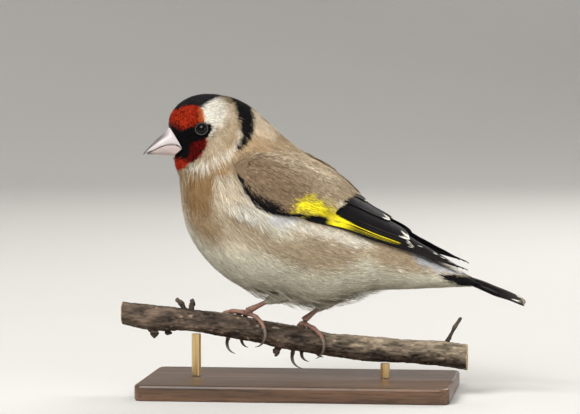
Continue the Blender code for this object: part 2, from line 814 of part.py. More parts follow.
def make_base():
    bpy.ops.mesh.primitive_cube_add(size=1.0)
    base = bpy.context.object
    base.name = "stand_base"
    base.data.transform(
        scaling(BASE_LENGTH * MM, BASE_WIDTH * MM, BASE_HEIGHT * MM, BASE_HEIGHT * MM / 2)
    )
    upright = base.modifiers.new("Corners", "BEVEL")
    upright.width = BASE_CORNER * MM
    upright.segments = 4
    upright.limit_method = "WEIGHT"
    weights = base.data.attributes.new("bevel_weight_edge", "FLOAT", "EDGE")
    for edge in base.data.edges:
        a, b = (base.data.vertices[k].co for k in edge.vertices)
        weights.data[edge.index].value = 1.0 if abs(a.z - b.z) > 0.001 else 0.0
    rim = base.modifiers.new("Rim", "BEVEL")
    rim.width = 0.8 * MM
    rim.segments = 2
    rim.limit_method = "ANGLE"
    rim.angle_limit = math.radians(60)
    return base


def scaling(x, y, z, lift):
    """A matrix that sizes a unit cube and lifts it."""
    made = Matrix.Diagonal((x, y, z, 1.0))
    made[2][3] = lift
    return made


def make_rod(name, x):
    z, radius = perch_at(x + np.linspace(-ROD_RADIUS, ROD_RADIUS, 5))
    low = BASE_HEIGHT + GAP
    high = float(np.min(z - radius)) - GAP
    bpy.ops.mesh.primitive_cylinder_add(
        vertices=16,
        radius=ROD_RADIUS * MM,
        depth=(high - low) * MM,
        location=(x * MM, 0.0, (low + high) / 2 * MM),
    )
    rod = bpy.context.object
    rod.name = name
    return rod


def finish(obj, colour, roughness, metallic=0.0):
    """Gives a piece its own material and smooth shading."""
    material = bpy.data.materials.new(obj.name)
    material.use_nodes = True
    shader = material.node_tree.nodes["Principled BSDF"]
    shader.inputs["Base Color"].default_value = (*colour, 1.0)
    shader.inputs["Roughness"].default_value = roughness
    shader.inputs["Metallic"].default_value = metallic
    obj.data.materials.clear()
    obj.data.materials.append(material)
    obj.data.shade_smooth()
    obj.data.set_sharp_from_angle(angle=math.radians(40))


def main():
    for old in list(bpy.data.objects):
        bpy.data.objects.remove(old)
    for old in list(bpy.data.collections):
        bpy.data.collections.remove(old)
    buff, brown, black = (0.62, 0.45, 0.28), (0.36, 0.25, 0.16), (0.02, 0.02, 0.022)
    horn, flesh = (0.80, 0.72, 0.68), (0.48, 0.30, 0.25)
    finish(make_head(), (0.55, 0.10, 0.06), 0.8)
    finish(make_neck(), buff, 0.8)
    finish(make_trunk(), (0.66, 0.55, 0.42), 0.8)
    finish(make_upper_bill(), horn, 0.4)
    finish(make_bill("bill_lower", LOWER_BILL, False, 9), horn, 0.4)
    for title, side, seed in (("left", -1, 14), ("right", 1, 18)):
        finish(make_eye("eye_" + title, side), (0.01, 0.008, 0.008), 0.05)
        finish(make_wing("wing_" + title, side, seed), brown, 0.7)
    finish(make_tail(), black, 0.6)
    for title, leg in (("left", LEFT_LEG), ("right", RIGHT_LEG)):
        finish(make_leg("leg_" + title, leg), flesh, 0.6)
        for toe in leg["toes"]:
            name = "claw_" + title + "_" + toe[0]
            finish(make_claw(name, leg, toe), (0.16, 0.12, 0.11), 0.4)
    finish(make_perch(), (0.23, 0.17, 0.14), 0.9)
    finish(make_base(), (0.12, 0.07, 0.04), 0.45)
    for number, x in enumerate(ROD_PLACES, start=1):
        finish(make_rod("stand_rod_" + str(number), x), (0.7, 0.52, 0.25), 0.3, 1.0)
    parts = bpy.data.collections.new("European goldfinch")
    bpy.context.scene.collection.children.link(parts)
    for obj in list(bpy.context.scene.collection.objects):
        bpy.context.scene.collection.objects.unlink(obj)
        parts.objects.link(obj)


main()
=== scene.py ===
"""The looks of a life-size European goldfinch that grips a cut length of branch on a display stand.

The bird looks along -X with its left side towards -Y. Numbers are in millimetres until a mesh is
made. Its shapes follow the sections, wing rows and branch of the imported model, whose box and nodes
the frame gives. Only the belly is slimmer, by up to 2 mm towards the vent, and the branch's upper
stubs lean and end a little differently. Both sides of the bird carry the same markings, laid out
on its flank view.
"""

import math

import bpy
import numpy as np
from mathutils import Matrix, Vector


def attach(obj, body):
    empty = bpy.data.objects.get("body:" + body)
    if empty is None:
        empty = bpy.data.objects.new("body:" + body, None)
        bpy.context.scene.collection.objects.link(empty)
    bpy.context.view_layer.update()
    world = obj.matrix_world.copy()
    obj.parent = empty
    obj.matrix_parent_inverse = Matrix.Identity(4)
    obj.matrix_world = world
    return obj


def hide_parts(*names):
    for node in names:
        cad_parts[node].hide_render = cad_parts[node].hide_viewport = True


bl_info = {
    "name": "Goldfinch looks",
    "version": (1, 0, 0),
    "blender": (4, 5, 0),
    "location": "3D View > Sidebar > Goldfinch",
    "description": "Plumage, horn, bark, stand and studio of a life-size goldfinch",
    "category": "Object",
}

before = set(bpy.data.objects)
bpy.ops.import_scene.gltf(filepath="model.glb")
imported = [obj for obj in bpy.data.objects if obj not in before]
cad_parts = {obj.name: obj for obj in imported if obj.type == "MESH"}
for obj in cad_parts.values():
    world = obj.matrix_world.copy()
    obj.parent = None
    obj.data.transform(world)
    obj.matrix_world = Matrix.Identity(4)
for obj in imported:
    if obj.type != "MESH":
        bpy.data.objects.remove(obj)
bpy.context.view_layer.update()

MM = 0.001
BODY = "root"
BIRD_RIGHT, BIRD_LEFT = 1, -1
SIDE_NAMES = {BIRD_LEFT: "left", BIRD_RIGHT: "right"}
UP = np.array((0.0, 0.0, 1.0))

# Sections of the body from the bill's base to the tail: top x and z, lowest x and z, half width,
# how much fuller it is below, and how far its sides lie behind its plane.
BODY_SECTIONS = (
    (-41.3, 84.1, -40.3, 74.6, 3.75, 0.10, 2.6),
    (-41.4, 87.4, -39.9, 73.1, 5.5, 0.06, 3.8),
    (-38.6, 91.3, -39.7, 71.7, 7.3, 0.08, 3.9),
    (-34.4, 93.7, -39.2, 70.6, 8.8, 0.12, 3.4),
    (-29.7, 94.5, -38.8, 69.6, 9.8, 0.14, 2.5),
    (-24.6, 94.0, -38.4, 68.6, 10.4, 0.15, 1.5),
    (-19.4, 92.4, -38.1, 67.5, 11.0, 0.13, 0.6),
    (-14.9, 89.7, -38.0, 66.2, 11.9, 0.10, 0.0),
    (-10.9, 86.1, -37.6, 63.4, 13.2, 0.06, 0.0),
    (-4.6, 80.4, -37.3, 58.8, 15.6, 0.05, 0.0),
    (2.2, 75.3, -35.3, 51.1, 17.4, 0.04, 0.0),
    (8.5, 70.9, -31.4, 44.5, 18.3, 0.04, 0.0),
    (13.1, 66.4, -25.0, 37.9, 18.4, 0.05, 0.0),
    (17.6, 61.3, -16.9, 33.1, 17.7, 0.06, 0.0),
    (22.0, 57.6, -6.6, 30.9, 16.3, 0.08, 0.0),
    (27.1, 54.3, 4.4, 28.5, 14.3, 0.10, 0.0),
    (32.4, 51.0, 14.2, 30.6, 12.0, 0.10, 0.0),
    (37.8, 47.2, 22.7, 33.0, 9.6, 0.08, 0.0),
    (44.1, 42.8, 31.5, 33.4, 7.6, 0.05, 0.0),
    (49.8, 39.7, 41.6, 33.9, 6.0, 0.02, 0.0),
    (52.9, 37.8, 48.8, 34.3, 5.0, 0.00, 0.0),
)
LAST = len(BODY_SECTIONS) - 1.0

# The head turns to the bird's left about an upright line, from one section on and fully by another.
HEAD_TURN = math.radians(18.0)
TURN_PIVOT_X = -23.6
TURN_FROM, TURN_TO = 9.5, 5.0

# From this section on the wings rest on a roof, so much higher and wider than the back.
ROOF_FIRST = 12
ROOF_LIFT = (0.0, 0.2, 0.6, 1.1, 1.5, 2.0, 2.6, 2.2, 1.8)
ROOF_SPREAD = (0.0, 0.0, 0.2, 0.4, 0.5, 0.6, 0.7, 0.8, 0.8)
# Rows across the folded wing: x and z on its upper edge, then on its lower edge.
WING_ROWS = (
    (-18.9, 72.9, -17.3, 68.4),
    (-12.0, 75.9, -13.9, 63.6),
    (-3.1, 74.7, -9.6, 59.7),
    (5.7, 71.2, -3.8, 57.8),
    (13.3, 65.8, 3.1, 56.4),
    (19.2, 61.3, 12.0, 53.9),
    (25.2, 58.4, 20.5, 50.7),
    (31.5, 54.0, 29.0, 47.6),
    (37.8, 49.8, 37.2, 44.7),
    (44.1, 45.6, 44.4, 42.2),
    (48.8, 42.3, 49.2, 40.4),
    (52.4, 39.8, 52.6, 39.2),
)
# Half the way between the two wings over the back, how high their lowest vanes lie over the roof
# and how much higher the right wing's tip lies than the left one's.
WINGS_APART = 0.7
WING_SKIN_OFF = 0.42
RIGHT_TIP_LIFT = 1.8
# Sizes of a folded wing to which the shares of its markings are stretched.
WING_LENGTH, WING_DEPTH = 75.0, 15.0

# The tail's middle line in x and z, how far its rims droop, half its width, how much narrower its
# root is, and the share of the line at which its feathers start.
TAIL_LINE = ((49.6, 37.6), (53.5, 36.6), (58.5, 35.0), (64.0, 32.7), (70.9, 29.3))
TAIL_DROOP, TAIL_HALF_WIDTH, TAIL_FAN = 1.3, 5.2, 0.26
TAIL_ROOT_SHARE = 0.2
TAIL_PAIRS = 6

# The eye in the flank view, the radius of its ball and the radius that the lids leave bare.
EYE_PLACE = (-32.8, 83.8)
EYE_RADIUS, EYE_SHOWN_RADIUS = 2.3, 1.65

# Rows of each mandible from base to tip: upper x and z, lower x and z, and half width.
UPPER_BILL = (
    (-41.65, 84.0, -38.1, 77.65, 3.45),
    (-42.4, 83.1, -39.9, 78.75, 3.4),
    (-44.6, 81.2, -43.4, 78.6, 2.65),
    (-47.1, 78.85, -46.6, 77.2, 1.6),
    (-48.9, 77.0, -48.8, 76.25, 0.7),
    (-49.9, 75.7, -49.9, 75.5, 0.14),
)
LOWER_BILL = (
    (-38.1, 77.25, -40.75, 75.0, 3.2),
    (-40.2, 78.36, -41.9, 75.1, 3.1),
    (-43.4, 78.22, -43.8, 75.25, 2.35),
    (-46.5, 76.85, -46.6, 75.5, 1.4),
    (-48.5, 75.95, -48.5, 75.6, 0.4),
)

# The branch's middle line in x and z, and its radius.
PERCH_AXIS = (
    (-56.7, 24.9, 3.6),
    (-47.2, 23.5, 4.1),
    (-36.2, 22.9, 3.55),
    (-24.6, 21.5, 3.85),
    (-12.9, 19.5, 3.8),
    (-3.1, 17.6, 4.0),
    (8.5, 15.7, 3.7),
    (20.2, 14.5, 4.0),
    (31.5, 13.8, 3.8),
    (43.5, 13.2, 4.0),
    (52.9, 12.0, 4.1),
)
# Shares along a stub, its thickness there as a share of its radius, and how dark its bark is painted:
# as dark as the painted shade of a furrow this deep.
STUB_STEPS = (0.0, 0.15, 0.35, 0.55, 0.65, 0.85, 0.95, 1.0)
STUB_RADII = (1.25, 1.0, 0.72, 0.68, 0.85, 0.70, 0.80, 0.45)
STUB_SHADE = -0.16
# Stubs on the branch: x, angle about the axis, length, radius, lean along x.
PERCH_STUBS = (
    (-34.2, -6.0, 4.9, 1.05, -0.70),
    (-34.7, 9.0, 3.1, 1.05, 0.02),
    (44.4, 4.0, 9.0, 0.74, 0.55),
    (-47.0, 172.0, 2.0, 1.6, 0.0),
    (-42.8, 168.0, 1.4, 1.2, 0.1),
    (-6.6, 176.0, 2.3, 1.4, -0.1),
)

# The gap under each toe and before its claw, a toe's radius, the angle off the top of the branch at
# which toes start, and the radii of the shank from its top to the foot.
GAP = 0.32
TOE_RADIUS, TOE_START_ANGLE = 0.72, 4.0
LEG_RADII = (0.60, 0.58, 0.60, 0.66, 0.78, 0.95, 1.05)
# Legs: heel, ball of the foot, length of the feathered sleeve, and for each toe its name, travel
# along the branch, angle wrapped, stand-off, claw length, claw bend and the way the claw curls.
CURL_BACK = (0.9, -0.25, -0.2)
LEGS = {
    "left": {
        "heel": (-4.6, -5.6, 32.0),
        "ball": (-16.6, -0.4, 25.9),
        "trouser": 5.3,
        "toes": (
            ("hind", 5.8, -70.0, 0.0, 7.8, 118.0, (-0.9, 0.45, -0.2)),
            ("inner", -2.4, 130.0, 0.2, 4.6, 80.0, CURL_BACK),
            ("middle", -6.9, 140.0, 1.3, 6.2, 85.0, CURL_BACK),
            ("outer", -9.6, 74.0, 0.1, 4.2, 80.0, (-0.2, -0.8, -0.6)),
        ),
    },
    "right": {
        "heel": (11.2, 5.6, 31.2),
        "ball": (1.2, 0.3, 23.1),
        "trouser": 7.3,
        "toes": (
            ("hind", 6.4, -66.0, 0.0, 7.6, 110.0, (-0.8, 0.4, -0.3)),
            ("inner", -1.0, 142.0, 0.4, 4.6, 80.0, CURL_BACK),
            ("middle", -4.0, 146.0, 1.6, 6.6, 85.0, CURL_BACK),
            ("outer", 3.2, 120.0, 0.1, 4.2, 80.0, CURL_BACK),
        ),
    },
}

# Outlines of the markings on the flank view of the bird, its head looking straight ahead.
RED_MASK = (
    (-44, 84.2), (-41.0, 84.2), (-39.2, 82.9), (-37.6, 83.7), (-36.1, 84.5), (-33.7, 85.4),
    (-31.7, 86.1), (-32.0, 88.0), (-32.3, 89.9), (-34.2, 91.2), (-36.8, 91.0), (-38.8, 90.2),
    (-39.8, 89.5), (-44, 90.5),
)
BLACK_CROWN = (
    (-40.6, 89.4), (-38.8, 90.2), (-36.8, 91.0), (-34.2, 91.2), (-32.3, 90.2), (-31.2, 91.6),
    (-28.4, 92.9), (-25.6, 93.7), (-25.3, 97), (-42, 97),
)
BUFF_CROWN_REAR = ((-25.9, 94.6), (-25.0, 93.0), (-23.6, 91.6), (-21.8, 91.4), (-21.5, 96))
BLACK_LORES = (
    (-44, 84.4), (-41.0, 83.6), (-39.2, 82.8), (-37.6, 83.9), (-36.1, 84.8), (-34.1, 85.2),
    (-32.0, 85.9), (-30.4, 85.3), (-29.2, 84.1), (-29.0, 83.4), (-29.9, 82.6), (-31.0, 81.6),
    (-31.7, 80.9), (-33.3, 80.3), (-35.5, 79.3), (-36.2, 78.8), (-35.9, 77.2), (-36.4, 75.4),
    (-36.6, 73.8), (-38.6, 74.5), (-44, 74.5),
)
RED_CHEEK = (
    (-36.2, 78.5), (-35.5, 79.2), (-33.2, 80.3), (-31.6, 81.0), (-31.2, 80.2), (-31.5, 79.0),
    (-31.9, 78.1), (-32.7, 76.5), (-33.5, 75.4), (-34.2, 74.6), (-35.4, 73.6), (-36.3, 73.2),
    (-36.6, 74.6), (-36.2, 76.8),
)
RED_CHIN = (
    (-44, 74.6), (-38.6, 74.6), (-36.8, 74.2), (-36.4, 73.3), (-37.1, 72.2), (-38.0, 71.2),
    (-39.2, 70.4), (-44, 70.0),
)
WHITE_TEMPLE = (
    (-34.0, 91.5), (-34.5, 88.8), (-33.5, 86.0), (-31.0, 84.0), (-29.0, 84.2), (-27.2, 85.2),
    (-25.8, 86.6), (-25.0, 88.6), (-25.0, 90.8), (-25.6, 92.6), (-27.2, 94.4), (-30.4, 94.0),
)
WHITE_EYE_STREAK = ((-29.3, 84.2), (-28.4, 83.5), (-30.4, 81.2), (-31.4, 80.9), (-30.3, 82.4))
BLACK_NAPE = (
    (-23.6, 95.0), (-22.4, 93.2), (-21.6, 90.9), (-21.0, 87.7), (-19.7, 84.7), (-18.8, 82.4),
    (-19.1, 79.9), (-20.8, 77.0), (-18.8, 77.0), (-16.1, 79.4), (-15.0, 83.0), (-15.2, 86.5),
    (-15.8, 89.8), (-16.8, 93.2), (-20.0, 95.4),
)
PALE_CHEEK_RIM = (
    (-19.1, 82.5), (-19.0, 79.8), (-20.1, 77.7), (-22.6, 75.3), (-26.7, 73.4), (-30.3, 72.1),
    (-34.0, 70.4), (-36.6, 70.2), (-36.8, 72.0), (-33.0, 73.4), (-28.0, 75.0), (-23.8, 76.9),
    (-20.9, 79.1), (-19.9, 81.0), (-20.2, 84.5),
)
PALE_HIND_NECK = (
    (-16.6, 91.6), (-15.0, 86.0), (-13.4, 82.4), (-8.0, 80.0), (-5.6, 83.0), (-12.0, 91.0),
)
BROWN_BREAST = (
    (-37.6, 70.0), (-34.0, 70.6), (-30.0, 71.8), (-23.1, 74.4), (-22.4, 72.0), (-24.4, 68.2),
    (-25.3, 62.2), (-24.6, 57.0), (-22.2, 53.5), (-23.6, 49.8), (-26.3, 49.0), (-29.5, 50.4),
    (-32.6, 52.0), (-34.8, 57.1), (-36.2, 61.4), (-37.2, 66.1),
)
LOWER_BREAST = ((-35.5, 58.5), (-23.5, 58.5), (-21.0, 49.0), (-29.0, 47.0))
GREY_SHOULDER = (
    (-23.0, 74.4), (-19.5, 75.6), (-12.0, 77.6), (-12.0, 66.0), (-17.0, 66.5), (-20.0, 71.0),
)
BUFF_FLANK = (
    (-24.0, 58.6), (-18.5, 59.0), (-12.6, 57.0), (-7.3, 51.2), (-1.1, 50.2), (5.5, 51.4),
    (13.6, 50.2), (19.6, 47.0), (18.2, 41.5), (9.0, 39.0), (1.9, 40.3), (-4.3, 43.4),
    (-9.8, 46.2), (-14.8, 49.0), (-21.0, 52.0),
)
BUFF_VENT = (
    (22.8, 46.7), (29.8, 46.9), (35.9, 44.9), (42.0, 42.6), (40.0, 40.0), (32.3, 39.3), (24.7, 40.6),
)
WHITE_BELOW_WING = (
    (-2.0, 55.9), (2.9, 55.8), (11.0, 53.6), (20.0, 50.8), (24.2, 46.6), (17.1, 47.8), (9.6, 50.6),
    (0.0, 53.6),
)
BLUE_WHITE_PIT = ((-9.0, 58.8), (-1.3, 58.4), (1.6, 56.0), (-3.0, 54.2), (-8.3, 55.6))
WHITE_RUMP_SIDE = (
    (35.6, 45.6), (39.6, 46.2), (43.6, 44.6), (48.4, 42.4), (54.4, 40.4), (54.4, 37.6), (49.0, 38.7),
    (44.4, 39.0), (40.3, 40.6), (36.3, 42.9),
)
WHITE_RUMP_END = ((44.6, 43.2), (49.0, 42.0), (54.6, 40.8), (54.6, 38.4), (49.5, 39.3), (45.4, 40.4))
BLACK_TAIL_SIDE = ((42.4, 38.9), (47.0, 38.6), (54.4, 37.5), (54.4, 33.6), (50.0, 34.6), (46.0, 36.4))

# The black that shows between the red feathers of the face and round them.
BLACK_UNDER_FACE = (
    (-44, 71.0), (-39.4, 71.0), (-37.6, 72.4), (-35.6, 74.2), (-33.0, 76.6), (-32.0, 79.0),
    (-31.6, 81.0), (-29.4, 83.4), (-29.8, 84.6), (-32.2, 86.2), (-32.7, 88.0), (-32.8, 90.2),
    (-31.0, 92.2), (-44, 95.0),
)

# Markings from the lowest layer up: outline, colour and brightness of the feathers' tips, the same
# for their bases, how strong, how far the edge strays and how widely it fades, in millimetres.
MARKS = (
    (BUFF_FLANK, ("flank", 1.0), ("flank", 0.7), 0.95, 1.2, 5.0),
    (BUFF_VENT, ("flank", 1.0), ("flank", 0.7), 0.8, 0.9, 3.0),
    (WHITE_BELOW_WING, ("white", 1.0), ("white", 0.7), 0.8, 0.8, 1.6),
    (BLUE_WHITE_PIT, ("blue_white", 1.0), ("blue_white", 0.7), 0.9, 0.8, 1.4),
    (WHITE_RUMP_SIDE, ("blue_white", 1.0), ("blue_white", 0.6), 0.95, 0.5, 0.8),
    (WHITE_RUMP_END, ("white", 1.2), ("white", 0.9), 1.0, 0.3, 0.6),
    (BLACK_TAIL_SIDE, ("black", 1.6), ("black", 1.4), 1.0, 0.1, 0.2),
    (PALE_HIND_NECK, ("cream", 1.1), ("cream", 0.7), 0.65, 0.8, 2.6),
    (WHITE_TEMPLE, ("white", 1.05), ("white", 0.8), 1.0, 0.5, 4.2),
    (PALE_CHEEK_RIM, ("white", 0.9), ("white", 0.6), 0.8, 0.4, 1.4),
    (BROWN_BREAST, ("brown", 1.0), ("brown", 0.7), 0.95, 0.9, 4.2),
    (LOWER_BREAST, ("flank", 1.1), ("flank", 0.7), 0.5, 0.9, 5.0),
    (GREY_SHOULDER, ("scapular", 1.1), ("scapular", 0.6), 0.8, 0.8, 2.0),
    (BUFF_CROWN_REAR, ("buff", 0.5), ("buff", 0.2), 0.8, 0.3, 0.6),
    (BLACK_NAPE, ("black", 1.3), ("black", 0.6), 1.0, 0.34, 0.4),
    (BLACK_UNDER_FACE, ("black", 1.0), ("black", 0.4), 1.0, 0.08, 0.2),
    # The crown's tips are painted almost five times as bright as the other blacks: a painted sheen.
    (BLACK_CROWN, ("black", 4.8), ("black", 1.0), 1.0, 0.25, 0.3),
    (BLACK_LORES, ("black", 1.0), ("black", 0.6), 1.0, 0.22, 0.2),
    (RED_MASK, ("red", 1.0), ("crimson", 0.10), 1.0, 0.16, 0.3),
    (RED_CHEEK, ("crimson", 1.0), ("crimson", 0.08), 1.0, 0.16, 0.3),
    (RED_CHIN, ("red", 1.15), ("crimson", 0.6), 1.0, 0.16, 0.3),
    (WHITE_EYE_STREAK, ("white", 1.0), ("white", 0.8), 0.85, 0.1, 0.3),
)

# The same on the folded wing, in shares along it and across it.
YELLOW_PATCH = (
    (0.302, 0.91), (0.290, 0.80), (0.296, 0.68), (0.330, 0.66), (0.376, 0.71), (0.425, 0.745),
    (0.470, 0.79), (0.450, 0.95), (0.415, 0.90), (0.385, 0.895), (0.350, 0.93), (0.320, 0.94),
)
CREAM_FRINGE = (
    (0.360, 0.60), (0.400, 0.60), (0.430, 0.42), (0.470, 0.42), (0.465, 0.78), (0.425, 0.76),
)
BLACK_STRIP = (
    (-0.02, 0.62), (0.01, 0.64), (0.045, 0.82), (0.07, 0.87), (0.118, 0.865), (0.165, 0.85),
    (0.212, 0.875), (0.268, 0.915), (0.305, 0.94), (0.357, 0.925), (0.393, 0.890), (0.425, 0.895),
    (0.44, 0.97), (0.44, 1.3), (-0.02, 1.3),
)
PALE_CREASE = (
    (0.06, 0.05), (0.10, 0.035), (0.19, 0.08), (0.27, 0.12), (0.36, 0.17), (0.36, 0.25), (0.27, 0.20),
    (0.19, 0.15), (0.10, 0.09),
)
LIGHT_SCAPULAR = ((0.05, -0.1), (0.5, -0.1), (0.5, 0.60), (0.36, 0.62), (0.28, 0.46), (0.20, 0.30))
WING_MARKS = (
    (LIGHT_SCAPULAR, ("mantle", 0.92), ("mantle", 0.5), 0.8, 1.2, 5.0),
    (PALE_CREASE, ("cream", 1.0), ("cream", 0.6), 0.75, 0.6, 1.2),
    (CREAM_FRINGE, ("cream", 1.3), ("cream", 0.8), 0.85, 0.6, 1.6),
    (YELLOW_PATCH, ("yellow", 1.0), ("yellow", 0.7), 1.0, 0.6, 2.4),
    (BLACK_STRIP, ("black", 1.6), ("black", 0.8), 1.0, 0.3, 0.4),
)

# Share of the red feathers that show only their black parts.
RED_GAPS = 0.20
# Seeds of the random draws.
COAT_SEED, HAIR_SEED, BRISTLE_SEED, DRAPE_SEED, VANE_SEED = 100, 70, 77, 40, 60
SKIN_SEED, ARM_SEED = 3, 9
# Where the long pale feathers of the breast side root, in the flank view.
HAIR_ROOTS = (
    (-25.0, 70.5), (-20.0, 70.5), (-16.0, 64.0), (-10.0, 60.0), (-12.0, 57.0), (-20.0, 60.0),
    (-25.0, 66.0),
)
# Side of the patch of the bake image that one feather takes.
OFBAKE_PATCH = 0.003
# Colours of the eyeball and its iris, the beads of the lids, the bill's tip and mouth, what tints
# its lower half, and cut wood.
EYE_BLACK, IRIS_BROWN = (0.001, 0.001, 0.0015), (0.005, 0.003, 0.002)
LID_GREY = (0.095, 0.092, 0.090)
BILL_TIP, BILL_MOUTH = (0.060, 0.050, 0.058), (0.36, 0.15, 0.10)
LOWER_BILL_TINT = (0.86, 0.78, 0.74)
CUT_WOOD = (0.50, 0.37, 0.22)

# Coats of the body: name, first and last section, lowest and highest angle, and slot.
COATS = (
    ("plumage_face", 0.05, 4.9, -180.0, 180.0, "red_black_face_plumage"),
    ("plumage_cheeks", 4.9, 8.2, -180.0, 180.0, "red_black_face_plumage"),
    ("plumage_neck", 8.2, 10.5, -180.0, 180.0, "buff_neck_plumage"),
    ("plumage_back", 10.5, 20.0, -60.0, 60.0, "buff_white_body_plumage"),
    ("plumage_flank_left", 10.5, 16.0, -180.0, -60.0, "buff_white_body_plumage"),
    ("plumage_flank_right", 10.5, 16.0, 60.0, 180.0, "buff_white_body_plumage"),
    ("plumage_vent_left", 16.0, 20.0, -180.0, -60.0, "buff_white_body_plumage"),
    ("plumage_vent_right", 16.0, 20.0, 60.0, 180.0, "buff_white_body_plumage"),
)
# Rows of trial places for each section of a coat, and their number round the body.
COAT_ROWS, COAT_COLUMNS = 34, 420
# Length of the face's feathers, and how much longer they get towards the tail and there below.
FACE_LENGTH, TRUNK_GROWTH, BELLY_GROWTH = 1.15, 3.6, 1.5
# How far in under a wing the coat runs, in sections, and the bare ring round the shown eye.
WING_MARGIN, EYE_MARGIN = 0.9, 0.5
# Share of a feather's length at which it takes the marking that it shows.
MARKED_SHARE = 0.55
# How many loose feathers hang out of the belly, by share, and how far their tips stand off.
LOOSE_SHARE, LOOSE_LIFT = 0.06, (0.8, 2.8)
# Small feathers for each square millimetre of the sleeves, the bill's base and the wings.
SLEEVE_DENSITY, BRISTLE_DENSITY, DRAPE_DENSITY = 5.0, 4.2, 3.6

# Long feathers of a folded wing, each from where its lower edge starts to where its tip lies, in
# shares along and across the wing. Tertials come innermost first and with their widths. The others
# run from the first pair of ends to the second.
TERTIALS = (
    ((0.33, 0.30), (0.488, 0.115), 0.34),
    ((0.33, 0.52), (0.602, 0.375), 0.42),
    ((0.33, 0.80), (0.690, 0.72), 0.50),
)
SECONDARY_COUNT, PRIMARY_COUNT = 4, 7
SECONDARY_EDGES, SECONDARY_TIPS = ((0.34, 0.82), (0.34, 0.90)), ((0.700, 0.79), (0.715, 0.90))
PRIMARY_EDGES, PRIMARY_TIPS = ((0.36, 0.88), (0.36, 1.01)), ((0.745, 0.72), (1.0, 0.96))
OUTER_PRIMARIES = (((0.37, 1.02), (0.97, 1.0)), ((0.38, 1.03), (0.925, 1.02)))
SECONDARY_WIDTH, PRIMARY_WIDTH, OUTER_WIDTH = 0.26, 0.36, 0.28
# Kinds of long feather: where it starts to narrow, its white tip and the strength of its pale rim.
VANE_KINDS = {
    "tertial": (0.80, 0.08, 0.4),
    "secondary": (0.80, 0.035, 0.3),
    "primary": (0.72, 0.04, 0.3),
    "outer": (0.80, 0.0, 0.3),
}
# Upper and lower rim of the yellow bar: shares along the wing, then across it.
BAR_TOP = (0.40, 0.448, 0.485, 0.537, 0.60, 0.655), (0.75, 0.825, 0.85, 0.87, 0.86, 0.86)
BAR_LOW = (0.40, 0.52, 0.58, 0.62, 0.66), (1.02, 0.985, 0.96, 0.945, 0.92)
# Points along and across a vane, from its upper to its lower edge, and how thick it is.
VANE_ROWS = 30
VANE_SPREAD = (-1.0, -0.8, -0.5, -0.2, 0.1, 0.3, 0.5, 0.65, 0.78, 0.84, 0.88, 0.92, 0.96, 1.0)
VANE_THICKNESS = 0.10

# What the camera looks at, in millimetres, and from where, in degrees.
TARGET = (-3.15, 0.0, 58.9)
VIEW_AZIMUTH, VIEW_ELEVATION = 6.5, 3.5
# Lights: name, place in metres, size, share of the key light's power, and colour.
LIGHTS = (
    ("Key", (-0.45, -0.75, 0.95), 0.9, 1.0, (1.0, 0.98, 0.95)),
    ("Fill", (0.75, -0.75, 0.35), 0.9, 0.22, (1.0, 0.98, 0.95)),
    ("Rim", (0.4, 0.8, 0.75), 0.6, 0.45, (1.0, 0.98, 0.96)),
    ("Catch", (-0.38, -0.95, 0.80), 0.12, 0.15, (0.80, 0.90, 1.0)),
)


def spline(rows, place):
    """Rows of numbers read at a fractional row number, along a smooth curve through them."""
    table = np.asarray(rows, float)
    place = np.clip(np.asarray(place, float), 0.0, len(table) - 1.0)
    low = np.minimum(place.astype(int), len(table) - 2)
    padded = np.vstack([2 * table[0] - table[1], table, 2 * table[-1] - table[-2]])
    t = (place - low)[..., None]
    a, b, c, d = (padded[low + k] for k in range(4))
    return 0.5 * (
        2 * b
        + (c - a) * t
        + (2 * a - 5 * b + 4 * c - d) * t**2
        + (3 * b - a - 3 * c + d) * t**3
    )


def ease(value):
    """0 below 0 and 1 above 1, with a smooth rise between them."""
    value = np.clip(value, 0.0, 1.0)
    return value * value * (3.0 - 2.0 * value)


def unit(vectors):
    """The vectors' directions, each of length one."""
    vectors = np.asarray(vectors, float)
    return vectors / np.maximum(np.linalg.norm(vectors, axis=-1, keepdims=True), 1e-9)


def mix(first, second, share):
    """Numbers between first and second."""
    return first + (second - first) * share


def dye(first, second, share):
    """Colours between first and second, one for each share."""
    first, second = np.asarray(first, float), np.asarray(second, float)
    return first + (second - first) * np.asarray(share, float)[..., None]


def full_turn(count):
    """Angles of points spread evenly round a circle."""
    return np.arange(count) * 2 * math.pi / count


def turned(points, place):
    """Points at section number place, turned about the upright neck line as the head is."""
    angle = HEAD_TURN * ease((TURN_FROM - place) / (TURN_FROM - TURN_TO))
    x = points[..., 0] - TURN_PIVOT_X
    y = points[..., 1]
    return np.stack(
        [
            TURN_PIVOT_X + x * np.cos(angle) - y * np.sin(angle),
            x * np.sin(angle) + y * np.cos(angle),
            points[..., 2],
        ],
        axis=-1,
    )


def side_share(up):
    """1 at the sides of a section and 0 at its top and lowest point, fuller below."""
    return (1 - up**2) * (1 - 0.9 * up)


def roofed_sections(roof):
    """The sections of the body, or with a roof those of the surface that the wings rest on."""
    rows = np.array(BODY_SECTIONS)
    if roof:
        rows[ROOF_FIRST:, 1] += ROOF_LIFT
        rows[ROOF_FIRST:, 4] += ROOF_SPREAD
    return rows


def straight_body(place, angle, roof=False):
    """A point of the plumage's outer surface with the head looking straight ahead."""
    place, angle = np.broadcast_arrays(np.asarray(place, float), np.asarray(angle, float))
    row = spline(roofed_sections(roof), place)
    top_x, top_z, low_x, low_z, width, fuller, swept = np.moveaxis(row, -1, 0)
    up = np.cos(angle)
    x = (top_x + low_x) / 2 + (top_x - low_x) / 2 * up + swept * side_share(up)
    z = (top_z + low_z) / 2 + (top_z - low_z) / 2 * up
    y = width * np.sin(angle) * (1.0 - fuller * up)
    return np.stack([x, y, z], axis=-1)


